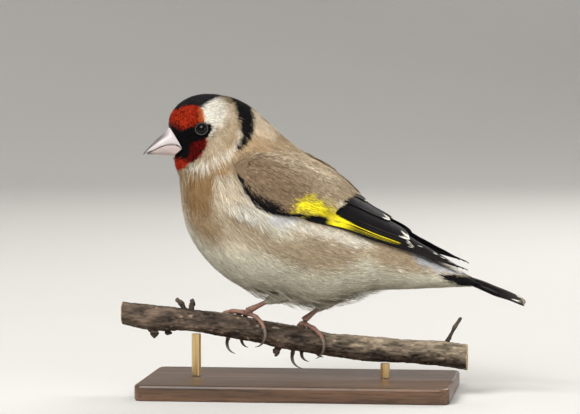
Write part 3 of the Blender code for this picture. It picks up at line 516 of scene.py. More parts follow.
def body_point(place, angle, roof=False):
    """A point of the plumage's outer surface. Past the tail's root it runs straight on."""
    place, angle = np.broadcast_arrays(np.asarray(place, float), np.asarray(angle, float))
    point = turned(straight_body(place, angle, roof), place)
    beyond = np.maximum(place - LAST, 0.0)
    if not beyond.any():
        return point
    end = straight_body(LAST, angle, roof)
    before = straight_body(LAST - 0.5, angle, roof)
    return point + (end - before) * 2 * beyond[..., None]


def slopes(point_at, a, b, step, *more):
    """The ways along and across a surface for one unit of each of its place numbers."""
    along = point_at(a + step, b, *more) - point_at(a - step, b, *more)
    across = point_at(a, b + step, *more) - point_at(a, b - step, *more)
    return along / (2 * step), across / (2 * step)


def body_frame(place, angle, roof=False):
    """The point there, the ways along and round the body for one unit of each, and the way out."""
    along, around = slopes(body_point, place, angle, 0.03, roof)
    return body_point(place, angle, roof), along, around, unit(np.cross(along, around))


def place_in_flank_view(x, z, first, last, roof=False):
    """Section number and angle whose flank view is at (x, z)."""
    places = np.linspace(first, last, 2001)
    found = spline(roofed_sections(roof), places)
    top, low, swept = found[:, 0:2], found[:, 2:4], found[:, 6]
    index, angle = 0, math.pi / 2
    for _ in range(4):
        target = np.array([x - swept[index] * side_share(math.cos(angle)), z])
        aim = target - top
        side = (low - top)[:, 0] * aim[:, 1] - (low - top)[:, 1] * aim[:, 0]
        crossing = np.flatnonzero(np.sign(side[:-1]) != np.sign(side[1:]))
        index = crossing[-1] if len(crossing) else int(np.argmin(np.abs(side)))
        middle, half = (top[index] + low[index]) / 2, (top[index] - low[index]) / 2
        up = np.dot(target - middle, half) / np.dot(half, half)
        angle = math.acos(max(-1.0, min(1.0, up)))
    return places[index], angle


def wing_corners():
    """Section numbers and angles of the wing's upper and lower edge, row by row."""
    found = []
    for upper_x, upper_z, lower_x, lower_z in WING_ROWS:
        upper = place_in_flank_view(upper_x, upper_z, 7.0, LAST, True)
        lower = place_in_flank_view(lower_x, lower_z, 7.0, LAST, True)
        width = spline(BODY_SECTIONS, upper[0])[4]
        least = math.asin(WINGS_APART / width)
        found.append((upper[0], max(upper[1], least), *lower))
    return np.array(found)


WING_CORNERS = wing_corners()


def wing_point(side, along, across):
    """The roof under a wing, its outer direction with it."""
    along, across = np.broadcast_arrays(np.asarray(along, float), np.asarray(across, float))
    rows = spline(WING_CORNERS, along * (len(WING_CORNERS) - 1))
    beyond = np.maximum(along - 1.0, 0.0) * WING_LENGTH
    place = rows[..., 0] + (rows[..., 2] - rows[..., 0]) * across
    angle = rows[..., 1] + (rows[..., 3] - rows[..., 1]) * across
    point, forward, _, out = body_frame(place, angle, True)
    point = point + unit(forward) * beyond[..., None]
    lift = 0 * along
    if side > 0:
        lift = RIGHT_TIP_LIFT * ease((along - 0.55) / 0.45)
    point = point + np.stack([0 * lift, 0 * lift, lift], axis=-1)
    flip = np.array([1.0, float(side), 1.0])
    return point * flip, out * flip


def wing_frame(side):
    """A frame function over one wing, like body_frame, counted in shares along and across it."""

    def point_at(along, across):
        return wing_point(side, along, across)[0]

    def at(along, across):
        point, out = wing_point(side, along, across)
        return (point, *slopes(point_at, along, across, 0.004), out)

    return at


def tail_point(along, across):
    """A point over the tail: across runs from -1 on the left to +1 on the right."""
    along, across = np.broadcast_arrays(np.asarray(along, float), np.asarray(across, float))
    row = spline(TAIL_LINE, along * (len(TAIL_LINE) - 1))
    width = TAIL_HALF_WIDTH * (1 - TAIL_FAN * (1 - ease(along)))
    return np.stack(
        [row[..., 0], width * across, row[..., 1] - TAIL_DROOP * across**2], axis=-1
    )


def eye_seat(side):
    """The middle of the shown eye on the plumage and the way out of it."""
    place, angle = place_in_flank_view(*EYE_PLACE, 1.0, 8.0)
    point, _, _, out = body_frame(np.array(place), np.array(side * angle))
    return point, out


def perch_at(x):
    """Height and radius of the branch at x."""
    axis = np.array(PERCH_AXIS)
    row = spline(axis, np.interp(x, axis[:, 0], np.arange(len(axis))))
    return row[..., 1], row[..., 2]


def on_perch(x, degrees, height):
    """A point above the bark: angle 0 is on top and +90 degrees on the right."""
    z, radius = perch_at(x)
    turn = np.radians(degrees)
    reach = radius + height
    x = np.asarray(x, float)
    return np.stack([x, reach * np.sin(turn), z + reach * np.cos(turn)], axis=-1)


def inside(x, z, outline):
    """Which points of the flank view lie inside an outline."""
    corners = np.array(outline, float)
    found = np.zeros(np.shape(x), bool)
    for (ax, az), (bx, bz) in zip(corners, np.roll(corners, -1, axis=0)):
        if az == bz:
            continue
        crosses = (az > z) != (bz > z)
        found ^= crosses & (x < ax + (z - az) * (bx - ax) / (bz - az))
    return found


def within(x, z, outline, fade):
    """1 well inside an outline and 0 well outside it, over an edge that fades as widely as asked."""
    corners = np.array(outline, float)
    near = np.full(np.shape(x), 1e9)
    for start, end in zip(corners, np.roll(corners, -1, axis=0)):
        side = end - start
        share = ((x - start[0]) * side[0] + (z - start[1]) * side[1]) / max(side @ side, 1e-9)
        share = np.clip(share, 0.0, 1.0)
        gap = np.hypot(x - start[0] - share * side[0], z - start[1] - share * side[1])
        near = np.minimum(near, gap)
    return ease(np.where(inside(x, z, outline), near, -near) / fade + 0.5)


def lattice_noise(points, scale, seed):
    """Smooth noise between -1 and 1 at points in space, with bumps of about the given size."""
    at = np.asarray(points, float) / scale
    cell = np.floor(at).astype(np.int64)
    part = ease(at - cell)
    total = np.zeros(at.shape[:-1])
    for corner in np.ndindex(2, 2, 2):
        spot = cell + np.array(corner)
        mixed = spot[..., 0] * 73856093 ^ spot[..., 1] * 19349663 ^ spot[..., 2] * 83492791
        mixed = (mixed ^ (seed * 2654435761)) & 0xFFFFFFFF
        mixed = (mixed ^ (mixed >> 15)) * 2246822519 & 0xFFFFFFFF
        value = ((mixed ^ (mixed >> 13)) & 0xFFFF) / 32767.5 - 1.0
        weight = np.prod(np.where(np.array(corner) == 1, part, 1 - part), axis=-1)
        total += value * weight
    return total


# Meshes


def make_mesh(name, points, triangles, material, colours=None, normals=None, uvs=None, vane=None):
    """A piece from arrays in millimetres, with what its material reads, riding on the body."""
    mesh = bpy.data.meshes.new(name)
    mesh.vertices.add(len(points))
    mesh.vertices.foreach_set("co", (np.asarray(points) * MM).astype(np.float32).ravel())
    triangles = np.asarray(triangles, np.int32)
    mesh.loops.add(triangles.size)
    mesh.loops.foreach_set("vertex_index", triangles.ravel())
    mesh.polygons.add(len(triangles))
    mesh.polygons.foreach_set("loop_start", np.arange(0, triangles.size, 3, dtype=np.int32))
    mesh.update(calc_edges=True)
    mesh.polygons.foreach_set("use_smooth", np.ones(len(triangles), bool))
    if colours is not None:
        paint = mesh.color_attributes.new("colour", "FLOAT_COLOR", "POINT")
        rgba = np.ones((len(points), 4), np.float32)
        rgba[:, :3] = np.clip(colours, 0.0, 1.0)
        paint.data.foreach_set("color", rgba.ravel())
    if vane is not None:
        held = mesh.attributes.new("vane", "FLOAT_VECTOR", "POINT")
        held.data.foreach_set("vector", np.asarray(vane, np.float32).ravel())
    if uvs is not None:
        layer = mesh.uv_layers.new(name="OFBake")
        layer.uv.foreach_set("vector", np.asarray(uvs, np.float32)[triangles.ravel()].ravel())
    if normals is not None:
        mesh.normals_split_custom_set_from_vertices(unit(normals).tolist())
    mesh.materials.append(material)
    piece = bpy.data.objects.new(name, mesh)
    bpy.context.scene.collection.objects.link(piece)
    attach(piece, BODY)
    return piece


def grid_triangles(rows, columns, closed):
    """Two triangles for each cell of a grid of points, wrapping round if closed."""
    i, j = np.meshgrid(np.arange(rows - 1), np.arange(columns - (not closed)), indexing="ij")
    a = (i * columns + j).ravel()
    b = (i * columns + (j + 1) % columns).ravel()
    c, d = a + columns, b + columns
    return np.concatenate([np.stack([a, b, d], 1), np.stack([a, d, c], 1)])


def capped_grid(rings):
    """Points and triangles of a closed solid through rings of points, with a fan at each end."""
    rows, columns = rings.shape[:2]
    points = np.concatenate([rings.reshape(-1, 3), rings[:1].mean(1), rings[-1:].mean(1)])
    near, far = rows * columns, rows * columns + 1
    k = np.arange(columns)
    after = (k + 1) % columns
    last = (rows - 1) * columns
    triangles = np.concatenate(
        [
            grid_triangles(rows, columns, True),
            np.stack([after, k, np.full(columns, near)], 1),
            np.stack([last + k, last + after, np.full(columns, far)], 1),
        ]
    )
    return points, triangles


def facing_out(points, triangles):
    """The triangles, turned round if the closed shape is inside out."""
    a, b, c = (points[triangles[:, k]] - points.mean(0) for k in range(3))
    volume = np.einsum("ij,ij->i", a, np.cross(b, c))
    return triangles if volume.sum() > 0 else triangles[:, ::-1]


def tube_rings(path, radii, sides):
    """Rings of points round a path, turned as little as they can be."""
    path, radii = np.asarray(path, float), np.asarray(radii, float)
    ways = unit(np.gradient(path, axis=0))
    side = unit(np.cross(ways[0], (0.31, 0.95, 0.12)))
    turns = full_turn(sides)
    rings = []
    for spot, way, radius in zip(path, ways, radii):
        side = unit(side - way * (side @ way))
        other = np.cross(way, side)
        around = np.cos(turns)[:, None] * side + np.sin(turns)[:, None] * other
        rings.append(spot + around * np.reshape(radius, (-1, 1)))
    return np.array(rings)


# Materials


class Shader:
    """A node material, with short ways to add the nodes that the finishes share."""

    def __init__(self, name, **constants):
        self.material = bpy.data.materials.new(name)
        self.material.use_nodes = True
        self.tree = self.material.node_tree
        self.surface = self.tree.nodes["Principled BSDF"]
        for socket, value in constants.items():
            self.surface.inputs[socket.replace("_", " ")].default_value = value

    def node(self, kind, **settings):
        made = self.tree.nodes.new("ShaderNode" + kind)
        for key, value in settings.items():
            if hasattr(made, key):
                setattr(made, key, value)
            else:
                made.inputs[key.replace("_", " ")].default_value = value
        return made

    def link(self, source, target):
        self.tree.links.new(source, target)

    def place(self):
        return self.node("TexCoord").outputs["Object"]

    def stretched(self, source, scale):
        mapping = self.node("Mapping")
        mapping.inputs["Scale"].default_value = scale
        self.link(source, mapping.inputs["Vector"])
        return mapping.outputs["Vector"]

    def noise(self, scale, detail=4.0, where=None):
        made = self.node("TexNoise", Scale=scale, Detail=detail)
        self.link(where or self.place(), made.inputs["Vector"])
        return made.outputs["Fac"]

    def ramp(self, source, *stops):
        made = self.node("ValToRGB")
        edge = made.color_ramp.elements
        while len(edge) < len(stops):
            edge.new(0.5)
        for spot, (position, colour) in zip(edge, stops):
            spot.position = position
            spot.color = (*colour, 1.0) if len(np.shape(colour)) else (colour,) * 3 + (1.0,)
        self.link(source, made.inputs["Fac"])
        return made.outputs["Color"]

    def shaded(self, colour, shade, share=1.0):
        """One colour multiplied by another, as strongly as asked."""
        made = self.node("Mix", data_type="RGBA", blend_type="MULTIPLY")
        made.inputs[0].default_value = share
        self.link(colour, made.inputs[6])
        self.link(shade, made.inputs[7])
        return made.outputs[2]

    def colour(self, source):
        self.link(source, self.surface.inputs["Base Color"])

    def painted(self, *shades):
        """Takes the colours painted on the mesh, broken up by each of the shades."""
        colour = self.node("Attribute", attribute_name="colour").outputs["Color"]
        for shade in shades:
            colour = self.shaded(colour, shade)
        self.colour(colour)

    def roughness(self, source, low, high):
        made = self.node("MapRange")
        made.inputs["To Min"].default_value = low
        made.inputs["To Max"].default_value = high
        self.link(source, made.inputs["Value"])
        self.link(made.outputs["Result"], self.surface.inputs["Roughness"])

    def bump(self, height, strength, distance):
        made = self.node("Bump", Strength=strength, Distance=distance)
        self.link(height, made.inputs["Height"])
        self.link(made.outputs["Normal"], self.surface.inputs["Normal"])


def plumage_material(name, roughness, sheen):
    """Soft body feathers: painted colours broken up by fine noise."""
    shader = Shader(
        name, Roughness=roughness, Sheen_Weight=sheen, Sheen_Roughness=0.4, Specular_IOR_Level=0.07
    )
    fine = shader.ramp(shader.noise(2600.0, 3.0), (0.3, 0.86), (0.7, 1.12))
    broad = shader.ramp(shader.noise(160.0, 3.0), (0.3, 0.93), (0.7, 1.05))
    shader.painted(fine, broad)
    return shader.material


def vane_material(name, roughness):
    """Flight feathers: painted colours and the fine slanted lines of their barbs."""
    shader = Shader(name, Roughness=roughness, Specular_IOR_Level=0.05)
    vane = shader.node("Attribute", attribute_name="vane").outputs["Vector"]
    barbs = shader.noise(1.0, 2.0, shader.stretched(vane, (5.5, 0.5, 3.0)))
    clumps = shader.noise(1.0, 2.0, shader.stretched(vane, (1.1, 0.25, 3.0)))
    shader.painted(shader.ramp(barbs, (0.32, 0.72), (0.68, 1.25)))
    shader.roughness(clumps, roughness - 0.08, roughness + 0.12)
    shader.bump(barbs, 0.5, 0.00012)
    return shader.material


class FinchSizes(bpy.types.PropertyGroup):
    """Sizes that change the plumage and the view."""

    coat_depth: bpy.props.FloatProperty(
        name="Coat depth",
        description="How far the skin lies under the tips of the body feathers",
        default=1.1 * MM,
        unit="LENGTH",
    )
    face_density: bpy.props.FloatProperty(
        name="Face density",
        description="Small feathers for each square millimetre of the face",
        default=8.5,
        min=0.5,
    )
    body_density: bpy.props.FloatProperty(
        name="Body density",
        description="Feathers for each square millimetre of the trunk",
        default=2.9,
        min=0.5,
    )
    barb_width: bpy.props.FloatProperty(
        name="Barb width",
        description="Half the width of one lock of barbs on the trunk",
        default=0.085 * MM,
        unit="LENGTH",
    )
    camera_distance: bpy.props.FloatProperty(
        name="Camera distance",
        description="From the camera to the middle of the bird",
        default=1.015,
        unit="LENGTH",
    )
    key_power: bpy.props.FloatProperty(
        name="Key light",
        description="Power of the large light over the bird",
        default=16.5,
        unit="POWER",
    )


def colour_property(name, description, default):
    """A colour that can be changed in the panel."""
    return bpy.props.FloatVectorProperty(
        name=name, description=description, default=default, subtype="COLOR", min=0.0, max=1.0
    )


class FinchColours(bpy.types.PropertyGroup):
    """Colours of the bird, the branch, the stand and the studio."""

    black: colour_property("Black", "Crown, nape, lores and flight feathers", (0.0050, 0.0046, 0.0052))
    red: colour_property("Mask red", "Tips of the red feathers over the bill", (0.57, 0.040, 0.011))
    orange: colour_property("Mask rim", "Rear rim of the red mask", (0.80, 0.25, 0.065))
    crimson: colour_property("Cheek red", "Deep red below the eye", (0.21, 0.006, 0.004))
    white: colour_property("White", "Temple, belly and spots", (0.82, 0.78, 0.68))
    cream: colour_property("Cream", "Rims of the cheek and the throat", (0.66, 0.56, 0.42))
    buff: colour_property("Buff", "Ear coverts and hind neck", (0.345, 0.245, 0.138))
    mantle: colour_property("Mantle", "Back feathers", (0.54, 0.43, 0.29))
    scapular: colour_property("Scapular", "Grey-brown feathers over the wing", (0.232, 0.161, 0.099))
    brown: colour_property("Breast brown", "Patches on the breast", (0.245, 0.140, 0.055))
    belly: colour_property("Belly", "Greenish white of the belly", (0.65, 0.62, 0.495))
    blue_white: colour_property("Bluish white", "Rump sides and wing pit", (0.60, 0.61, 0.63))
    neck: colour_property("Neck", "Warm buff of the neck's sides", (0.465, 0.325, 0.185))
    flank: colour_property("Flank", "Buff wash on the flank", (0.385, 0.295, 0.19))
    yellow: colour_property("Yellow", "Bar and patch of the wing", (0.92, 0.76, 0.020))
    horn: colour_property("Bill horn", "Pinkish ivory of the bill", (0.62, 0.56, 0.56))
    flesh: colour_property("Leg skin", "Pinkish brown of the legs", (0.25, 0.132, 0.096))
    claw: colour_property("Claw", "Dark grey-brown horn of the claws", (0.10, 0.075, 0.06))
    bark: colour_property("Bark", "Dark brown of the branch", (0.105, 0.074, 0.053))
    # Also the painted sunlight on top of the branch's lit end.
    bark_pale_and_sunlit: colour_property("Pale bark", "Where the branch is lighter", (0.34, 0.27, 0.19))
    wood: colour_property("Stand wood", "Dark stained wood of the base", (0.11, 0.055, 0.028))
    brass: colour_property("Brass", "Brushed brass of the rods", (0.72, 0.52, 0.25))
    floor: colour_property("Floor", "Pale studio floor", (0.66, 0.65, 0.63))


def sizes():
    """The scene's sizes."""
    return bpy.context.scene.finch_sizes


def tint(name):
    """One of the scene's colours, by its name."""
    return np.array(getattr(bpy.context.scene.finch_colours, name)[:])


# Markings


def marked(tip, base, x, z, marks, stretch, draw):
    """Tip and base colours with markings laid over them, each feather straying over their edges."""
    scale_x, scale_z = stretch
    for outline, tip_tint, base_tint, strength, stray, fade in marks:
        moved = draw.normal(0.0, stray, (2, len(x)))
        scaled = np.array(outline, float) * (scale_x, scale_z)
        share = strength * within(x * scale_x + moved[0], z * scale_z + moved[1], scaled, fade)
        tip = dye(tip, tint(tip_tint[0]) * tip_tint[1], share)
        base = dye(base, tint(base_tint[0]) * base_tint[1], share)
    return tip, base


def flank_colours(place, angle, draw):
    """Base and tip colours of body feathers rooted at section places and angles."""
    spot = straight_body(place, np.abs(angle))
    x, z = spot[:, 0], spot[:, 2]
    height = np.cos(angle)
    patch = lattice_noise(spot, 4.0, 3)
    # The mantle above, whitish below, and a warm neck.
    below = ease((place - 8.0) / 2.0) * ease((0.42 + 0.1 * patch - height) / 0.4)
    tip = dye(np.tile(tint("mantle"), (len(x), 1)), tint("belly"), below)
    creamy = ease((x + 30) / 8) * ease((-6 - x) / 10) * ease((z - 42) / 8)
    tip = dye(tip, tint("cream") * 1.1, 0.6 * below * creamy)
    neck = ease((10.0 - place) / 1.6) * ease((x + 27) / 3)
    tip = dye(tip, tint("neck"), neck)
    front = ease((9.6 - place) / 1.4) * ease((-24 - x) / 4)
    tip = dye(tip, tint("cream") * 0.95, front)
    cheek = ease((8.3 - place) / 0.5)
    ears = dye(np.tile(tint("cream"), (len(x), 1)), tint("buff"), 0.65 + 0.3 * patch)
    tip = dye(tip, ears, cheek)
    base = tip * 0.62
    tip, base = marked(tip, base, x, z, MARKS, (1.0, 1.0), draw)
    # The breast patches leave a pale stripe between them, and the mask pales to orange behind.
    middle = ease((np.abs(angle) - math.radians(150)) / math.radians(16))
    middle = middle * ease((place - 8.5) / 1.0) * ease((16.0 - place) / 2.0)
    tip = dye(tip, tint("white") * 0.9, 0.85 * middle)
    rear = within(x, z, RED_MASK, 0.3) * ease((x + 34.2) / 2.4) * (1 - ease((z - 90.2) / 1.0))
    tip = dye(tip, tint("orange"), 0.9 * rear)
    base = dye(base, tint("orange") * 0.4, 0.7 * rear)
    dark = (draw.random(len(x)) < RED_GAPS) & (tip[:, 0] > 4 * tip[:, 1])
    tip[dark] *= 0.06
    return base, tip


def drape_colours(along, across, draw):
    """Base and tip colours of the small feathers over the wing, by their place on it."""
    count = len(along)
    tip = np.tile(tint("scapular"), (count, 1))
    streak = lattice_noise(np.stack([along * 9, across * 9 - along * 20, 0 * along], -1), 1.0, 7)
    tip = tip * (1 + 0.06 * streak[:, None])
    stretch = (WING_LENGTH, WING_DEPTH)
    tip, base = marked(tip, tip * 0.45, along, across, WING_MARKS, stretch, draw)
    return base, tip


# Plumage


def scatter(frame_at, first, last, rows, low, high, columns, density, draw):
    """Places on a surface, spread evenly along each of many rows, at a density per square mm.

    The density is a number, or a function of the two place numbers.
    """
    a = first + (last - first) * (np.arange(rows) + 0.5) / rows
    b = low + (high - low) * (np.arange(columns) + 0.5) / columns
    a, b = np.meshgrid(a, b, indexing="ij")
    _, along, around, _ = frame_at(a, b)
    area = np.linalg.norm(np.cross(along, around), axis=-1)
    area *= abs((last - first) / rows * (high - low) / columns)
    share = area * (density(a, b) if callable(density) else density)
    heaped = np.cumsum(share, axis=1) + draw.random((rows, 1))
    picked = np.diff(np.floor(heaped), axis=1, prepend=np.floor(heaped[:, :1])) > 0
    a, b = a[picked], b[picked]
    a = a + (draw.random(len(a)) - 0.5) * (last - first) / rows
    b = b + (draw.random(len(b)) - 0.5) * (high - low) / columns
    return a, b


class Tufts:
    """Body feathers as fans of thin, tapering locks of barbs that follow the surface they lie on.

    Each of the settings is one number for all feathers or an array with one for each.
    """

    def __init__(self, frame_at, a, b, draw):
        self.frame_at, self.a, self.b, self.draw = frame_at, a, b, draw
        # The turn of the lie from straight back, towards +b.
        self.heading = 0.0
        self.length = 3.0
        # Half the fan's width as a share of the length, and half the width of one lock.
        self.spread = 0.3
        self.width = 0.08
        # How high the roots and the tips stand over the surface.
        self.low, self.high = -1.1, 0.0
        self.locks, self.steps = 7, 3
        # How far the shading follows the body and not each lock.
        self.softness = 0.8

    def edges(self, values):
        """Values of the locks' middle lines, given to both edge points and to the tips."""
        both = np.stack([values[:, :, :-1]] * 2, axis=3)
        both = both.reshape(*values.shape[:2], self.steps * 2, values.shape[-1])
        return np.concatenate([both, values[:, :, -1:]], axis=2).reshape(-1, values.shape[-1])

    def build(self, name, base, tip, material, uv_of, contrast):
        """The piece: base and tip are the feathers' colours and contrast how far locks differ."""
        locks, steps, draw = self.locks, self.steps, self.draw
        count = len(self.a)
        held = (self.heading, self.length, self.spread, self.width, self.low, self.high)
        heading, length, spread, width, low, high = (
            np.broadcast_to(np.asarray(value, float), count)[:, None] for value in held
        )
        _, along, around, _ = self.frame_at(self.a, self.b)
        long_a = np.linalg.norm(along, axis=-1)[:, None, None]
        long_b = np.linalg.norm(around, axis=-1)[:, None, None]
        # The locks' middle lines, step by step.
        fan = np.linspace(-1, 1, locks) + draw.normal(0, 0.13, (count, locks))
        reach = length * (1 - 0.24 * fan**2 + draw.normal(0, 0.07, (count, locks)))
        t = np.linspace(0, 1, steps + 1)
        heading = (heading + draw.normal(0, 0.05, (count, locks)))[..., None]
        ahead = reach[..., None] * t
        aside = (fan * spread * length)[..., None] * (0.25 + 0.75 * t)
        da = (np.cos(heading) * ahead - np.sin(heading) * aside) / long_a
        db = (np.sin(heading) * ahead + np.cos(heading) * aside) / long_b
        point, _, _, out = self.frame_at(self.a[:, None, None] + da, self.b[:, None, None] + db)
        rise = np.sin(np.minimum(t * 1.15, 1.0) * math.pi / 2)
        lift = low[..., None] + (high - low)[..., None] * rise
        lift = lift + draw.normal(0, 0.10, (count, locks))[..., None] * t
        lift = lift - 0.12 * np.abs(fan)[..., None]
        point = point + out * lift[..., None]
        # Their edges, tapering to the tips and rolled a little.
        way = unit(np.gradient(point, axis=2))
        side = unit(np.cross(out, way))
        roll = draw.normal(0, 0.28, (count, locks, 1, 1))
        across = side * np.cos(roll) + out * np.sin(roll)
        taper = np.interp(t, (0, 0.35, 0.75, 1), (0.7, 1.0, 0.75, 0.0))
        half = (width[..., None] * taper)[..., None] * across
        # Each lock has a left and a right point at every step but the last, which is its tip.
        body = np.stack([(point - half)[:, :, :-1], (point + half)[:, :, :-1]], axis=3)
        body = body.reshape(count, locks, steps * 2, 3)
        points = np.concatenate([body, point[:, :, -1:]], axis=2)
        cell = []
        for k in range(steps - 1):
            cell += [(2 * k, 2 * k + 1, 2 * k + 3), (2 * k, 2 * k + 3, 2 * k + 2)]
        cell.append((2 * steps - 2, 2 * steps - 1, 2 * steps))
        starts = np.arange(count * locks) * (steps * 2 + 1)
        triangles = (starts[:, None, None] + np.array(cell)).reshape(-1, 3)
        turn = np.cross(points[:, :, 1] - points[:, :, 0], points[:, :, 3] - points[:, :, 0])
        if np.einsum("ijk,ijk->", turn, out[:, :, 0]) < 0:
            triangles = triangles[:, ::-1]
        leaf = unit(np.cross(way, across))
        leaf = leaf * np.sign(np.einsum("...i,...i->...", leaf, out))[..., None]
        normal = unit(out * self.softness + leaf * (1 - self.softness))
        # Colours run from base to tip, and feathers and locks differ a little in brightness.
        each, lock = draw.normal(0, 1, (count, 1, 1)), draw.normal(0, 1, (count, locks, 1))
        tone = 1 + contrast * (0.5 * each + lock)
        share = np.clip((t - 0.25) / 0.5, 0, 1)[None, None, :, None]
        paint = base[:, None, None, :] * (1 - share) + tip[:, None, None, :] * share
        paint = paint * np.clip(tone, 0.4, 1.8)[..., None]
        local = np.stack(np.broadcast_arrays(fan[..., None] / 3, t - 0.5), axis=-1)
        uv = uv_of(self.a, self.b)[:, None, None, :] + local * OFBAKE_PATCH
        return make_mesh(
            name,
            points.reshape(-1, 3),
            triangles,
            material,
            self.edges(paint),
            normals=self.edges(normal),
            uvs=self.edges(uv),
        )


def skin_uv(place, angle):
    """The skin's own unwrap: round the body across, along it upwards."""
    turn = (angle + math.pi) / (2 * math.pi)
    return np.stack([0.02 + 0.96 * turn, 0.02 + 0.9 * place / LAST], axis=-1)


def wing_uv(along, across):
    """A wing's unwrap: along it across, and from its upper edge to its lower one upwards."""
    return np.stack([0.05 + 0.9 * along, 0.05 + 0.9 * across], axis=-1)


def under_wing(place, angle, margin):
    """Which body places lie under a folded wing, by more than a margin in sections."""
    upper_place, upper_angle = WING_CORNERS[:, 0], WING_CORNERS[:, 1]
    lower_place, lower_angle = WING_CORNERS[:, 2], WING_CORNERS[:, 3]
    turn = np.abs(angle)
    high = np.interp(place, upper_place, upper_angle, left=9.0, right=9.0)
    low = np.interp(place, lower_place, lower_angle, left=-9.0, right=-9.0)
    start = upper_place[0] + margin
    return (turn > high + margin * 0.2) & (turn < low - margin * 0.2) & (place > start)


def coat_depth(place):
    """How far the skin lies under the feather tips, thin on the face."""
    depth = sizes().coat_depth / MM
    return depth * (0.42 + 0.58 * ease((place - 3.0) / 6.0))


def make_skin():
    """One closed skin under the feathers of head, neck and trunk, with the coat's markings."""
    rows, columns = 150, 120
    place = np.linspace(0.02, LAST - 0.05, rows)[:, None]
    angle = (full_turn(columns) - math.pi)[None, :]
    point, _, _, out = body_frame(place, angle)
    rings = point - out * coat_depth(place + 0 * angle)[..., None]
    points, triangles = capped_grid(rings)
    places, angles = (held.ravel() for held in np.broadcast_arrays(place, angle))
    base, tip = flank_colours(places, angles, np.random.default_rng(SKIN_SEED))
    paint = np.concatenate([0.5 * base + 0.2 * tip, [tint("black")] * 2])
    uv = np.concatenate([skin_uv(places, angles), [[0.5, 0.01]], [[0.5, 0.95]]])
    down = plumage_material("skin down", 0.9, 0.0)
    skin = make_mesh("skin", points, facing_out(points, triangles), down, paint, uvs=uv)
    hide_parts("head", "neck", "torso")


def ahead_of_wing(place, angle):
    """1 by the front and upper edges of a folded wing, over which the body feathers run, else 0."""
    turn = np.abs(angle)
    upper_place, upper_angle, _, lower_angle = WING_CORNERS.T
    front = 1 - ease(np.abs(place - upper_place[0] - 0.1) / 1.3)
    front = front * ease((turn - upper_angle[0] + 0.5) / 0.3)
    front = front * ease((lower_angle[0] - 0.10 - turn) / 0.2)
    edge = np.interp(place, upper_place, upper_angle)
    back = ease((turn - edge + 0.42) / 0.25) * ease((place - upper_place[0]) / 0.8)
    back = back * (turn < edge + 0.3) * ease((13.8 - place) / 1.0)
    return np.maximum(front, back)


def marked_at(tufts):
    """Where the middle of each tuft lies, for the markings it shows."""
    _, along, around, _ = tufts.frame_at(tufts.a, tufts.b)
    reach = MARKED_SHARE * tufts.length
    a = tufts.a + np.cos(tufts.heading) * reach / np.linalg.norm(along, axis=-1)
    return a, tufts.b + np.sin(tufts.heading) * reach / np.linalg.norm(around, axis=-1)


def coat_density(place, angle):
    """Feathers for each square millimetre, closest on the face."""
    return mix(sizes().face_density, sizes().body_density, ease((place - 3.5) / 6.0))


def make_coat(number, name, first, last, low, high, slot, material):
    """The small feathers of one stretch of the body, clear of the wings and the eyes."""
    draw = np.random.default_rng(COAT_SEED + number)
    rows = int((last - first) * COAT_ROWS) + 8
    low, high = math.radians(low), math.radians(high)
    a, b = scatter(body_frame, first, last, rows, low, high, COAT_COLUMNS, coat_density, draw)
    clear = ~under_wing(a, b, WING_MARGIN)
    near_eye = np.ones(len(a))
    for side in (BIRD_LEFT, BIRD_RIGHT):
        seat, _ = eye_seat(side)
        gap = np.linalg.norm(body_point(a, b) - seat, axis=-1)
        clear &= gap > EYE_SHOWN_RADIUS + EYE_MARGIN
        near_eye = np.minimum(near_eye, np.clip((gap - 1.6) / 2.2, 0.35, 1.0))
    a, b, near_eye = a[clear], b[clear], near_eye[clear]
    tufts = Tufts(body_frame, a, b, draw)
    grown = ease((a - 2.0) / 8.0)
    lower = ease((np.abs(b) - 0.9) / 1.2)
    length = FACE_LENGTH + TRUNK_GROWTH * grown + BELLY_GROWTH * grown * lower
    tufts.length = length * draw.uniform(0.8, 1.2, len(a)) * near_eye
    tufts.spread = 0.34 - 0.14 * grown
    tufts.width = mix(0.07, sizes().barb_width / MM, grown)
    loose = ease((np.abs(b) - 2.3) / 0.3) * ease((a - 12.2) / 1.0) * ease((17.0 - a) / 1.0)
    loose = loose * (draw.random(len(a)) < LOOSE_SHARE)
    tufts.width *= 1 + 0.5 * loose
    over = ahead_of_wing(a, b)
    tufts.heading = draw.normal(0, 0.06, len(a))
    tufts.heading += 0.12 * np.sign(b) * over * (np.abs(b) < 1.2)
    tufts.length *= (1 + 0.35 * loose) * (1 + 0.5 * ease((a - 18.3) / 1.2) * (np.abs(b) < 1.0))
    tufts.low = -coat_depth(a) - 0.1 + 0.4 * over
    tufts.high = mix(0.05, 0.15, grown) + 1.7 * over + draw.uniform(*LOOSE_LIFT, len(a)) * loose
    # The short feathers of the face take fewer locks and steps.
    tufts.locks, tufts.steps, contrast = (5, 2, 0.26) if last < 5 else (7, 3, 0.2)
    tufts.softness = 0.66
    base, tip = flank_colours(*marked_at(tufts), draw)
    piece = tufts.build(name, base, tip, material, skin_uv, contrast)


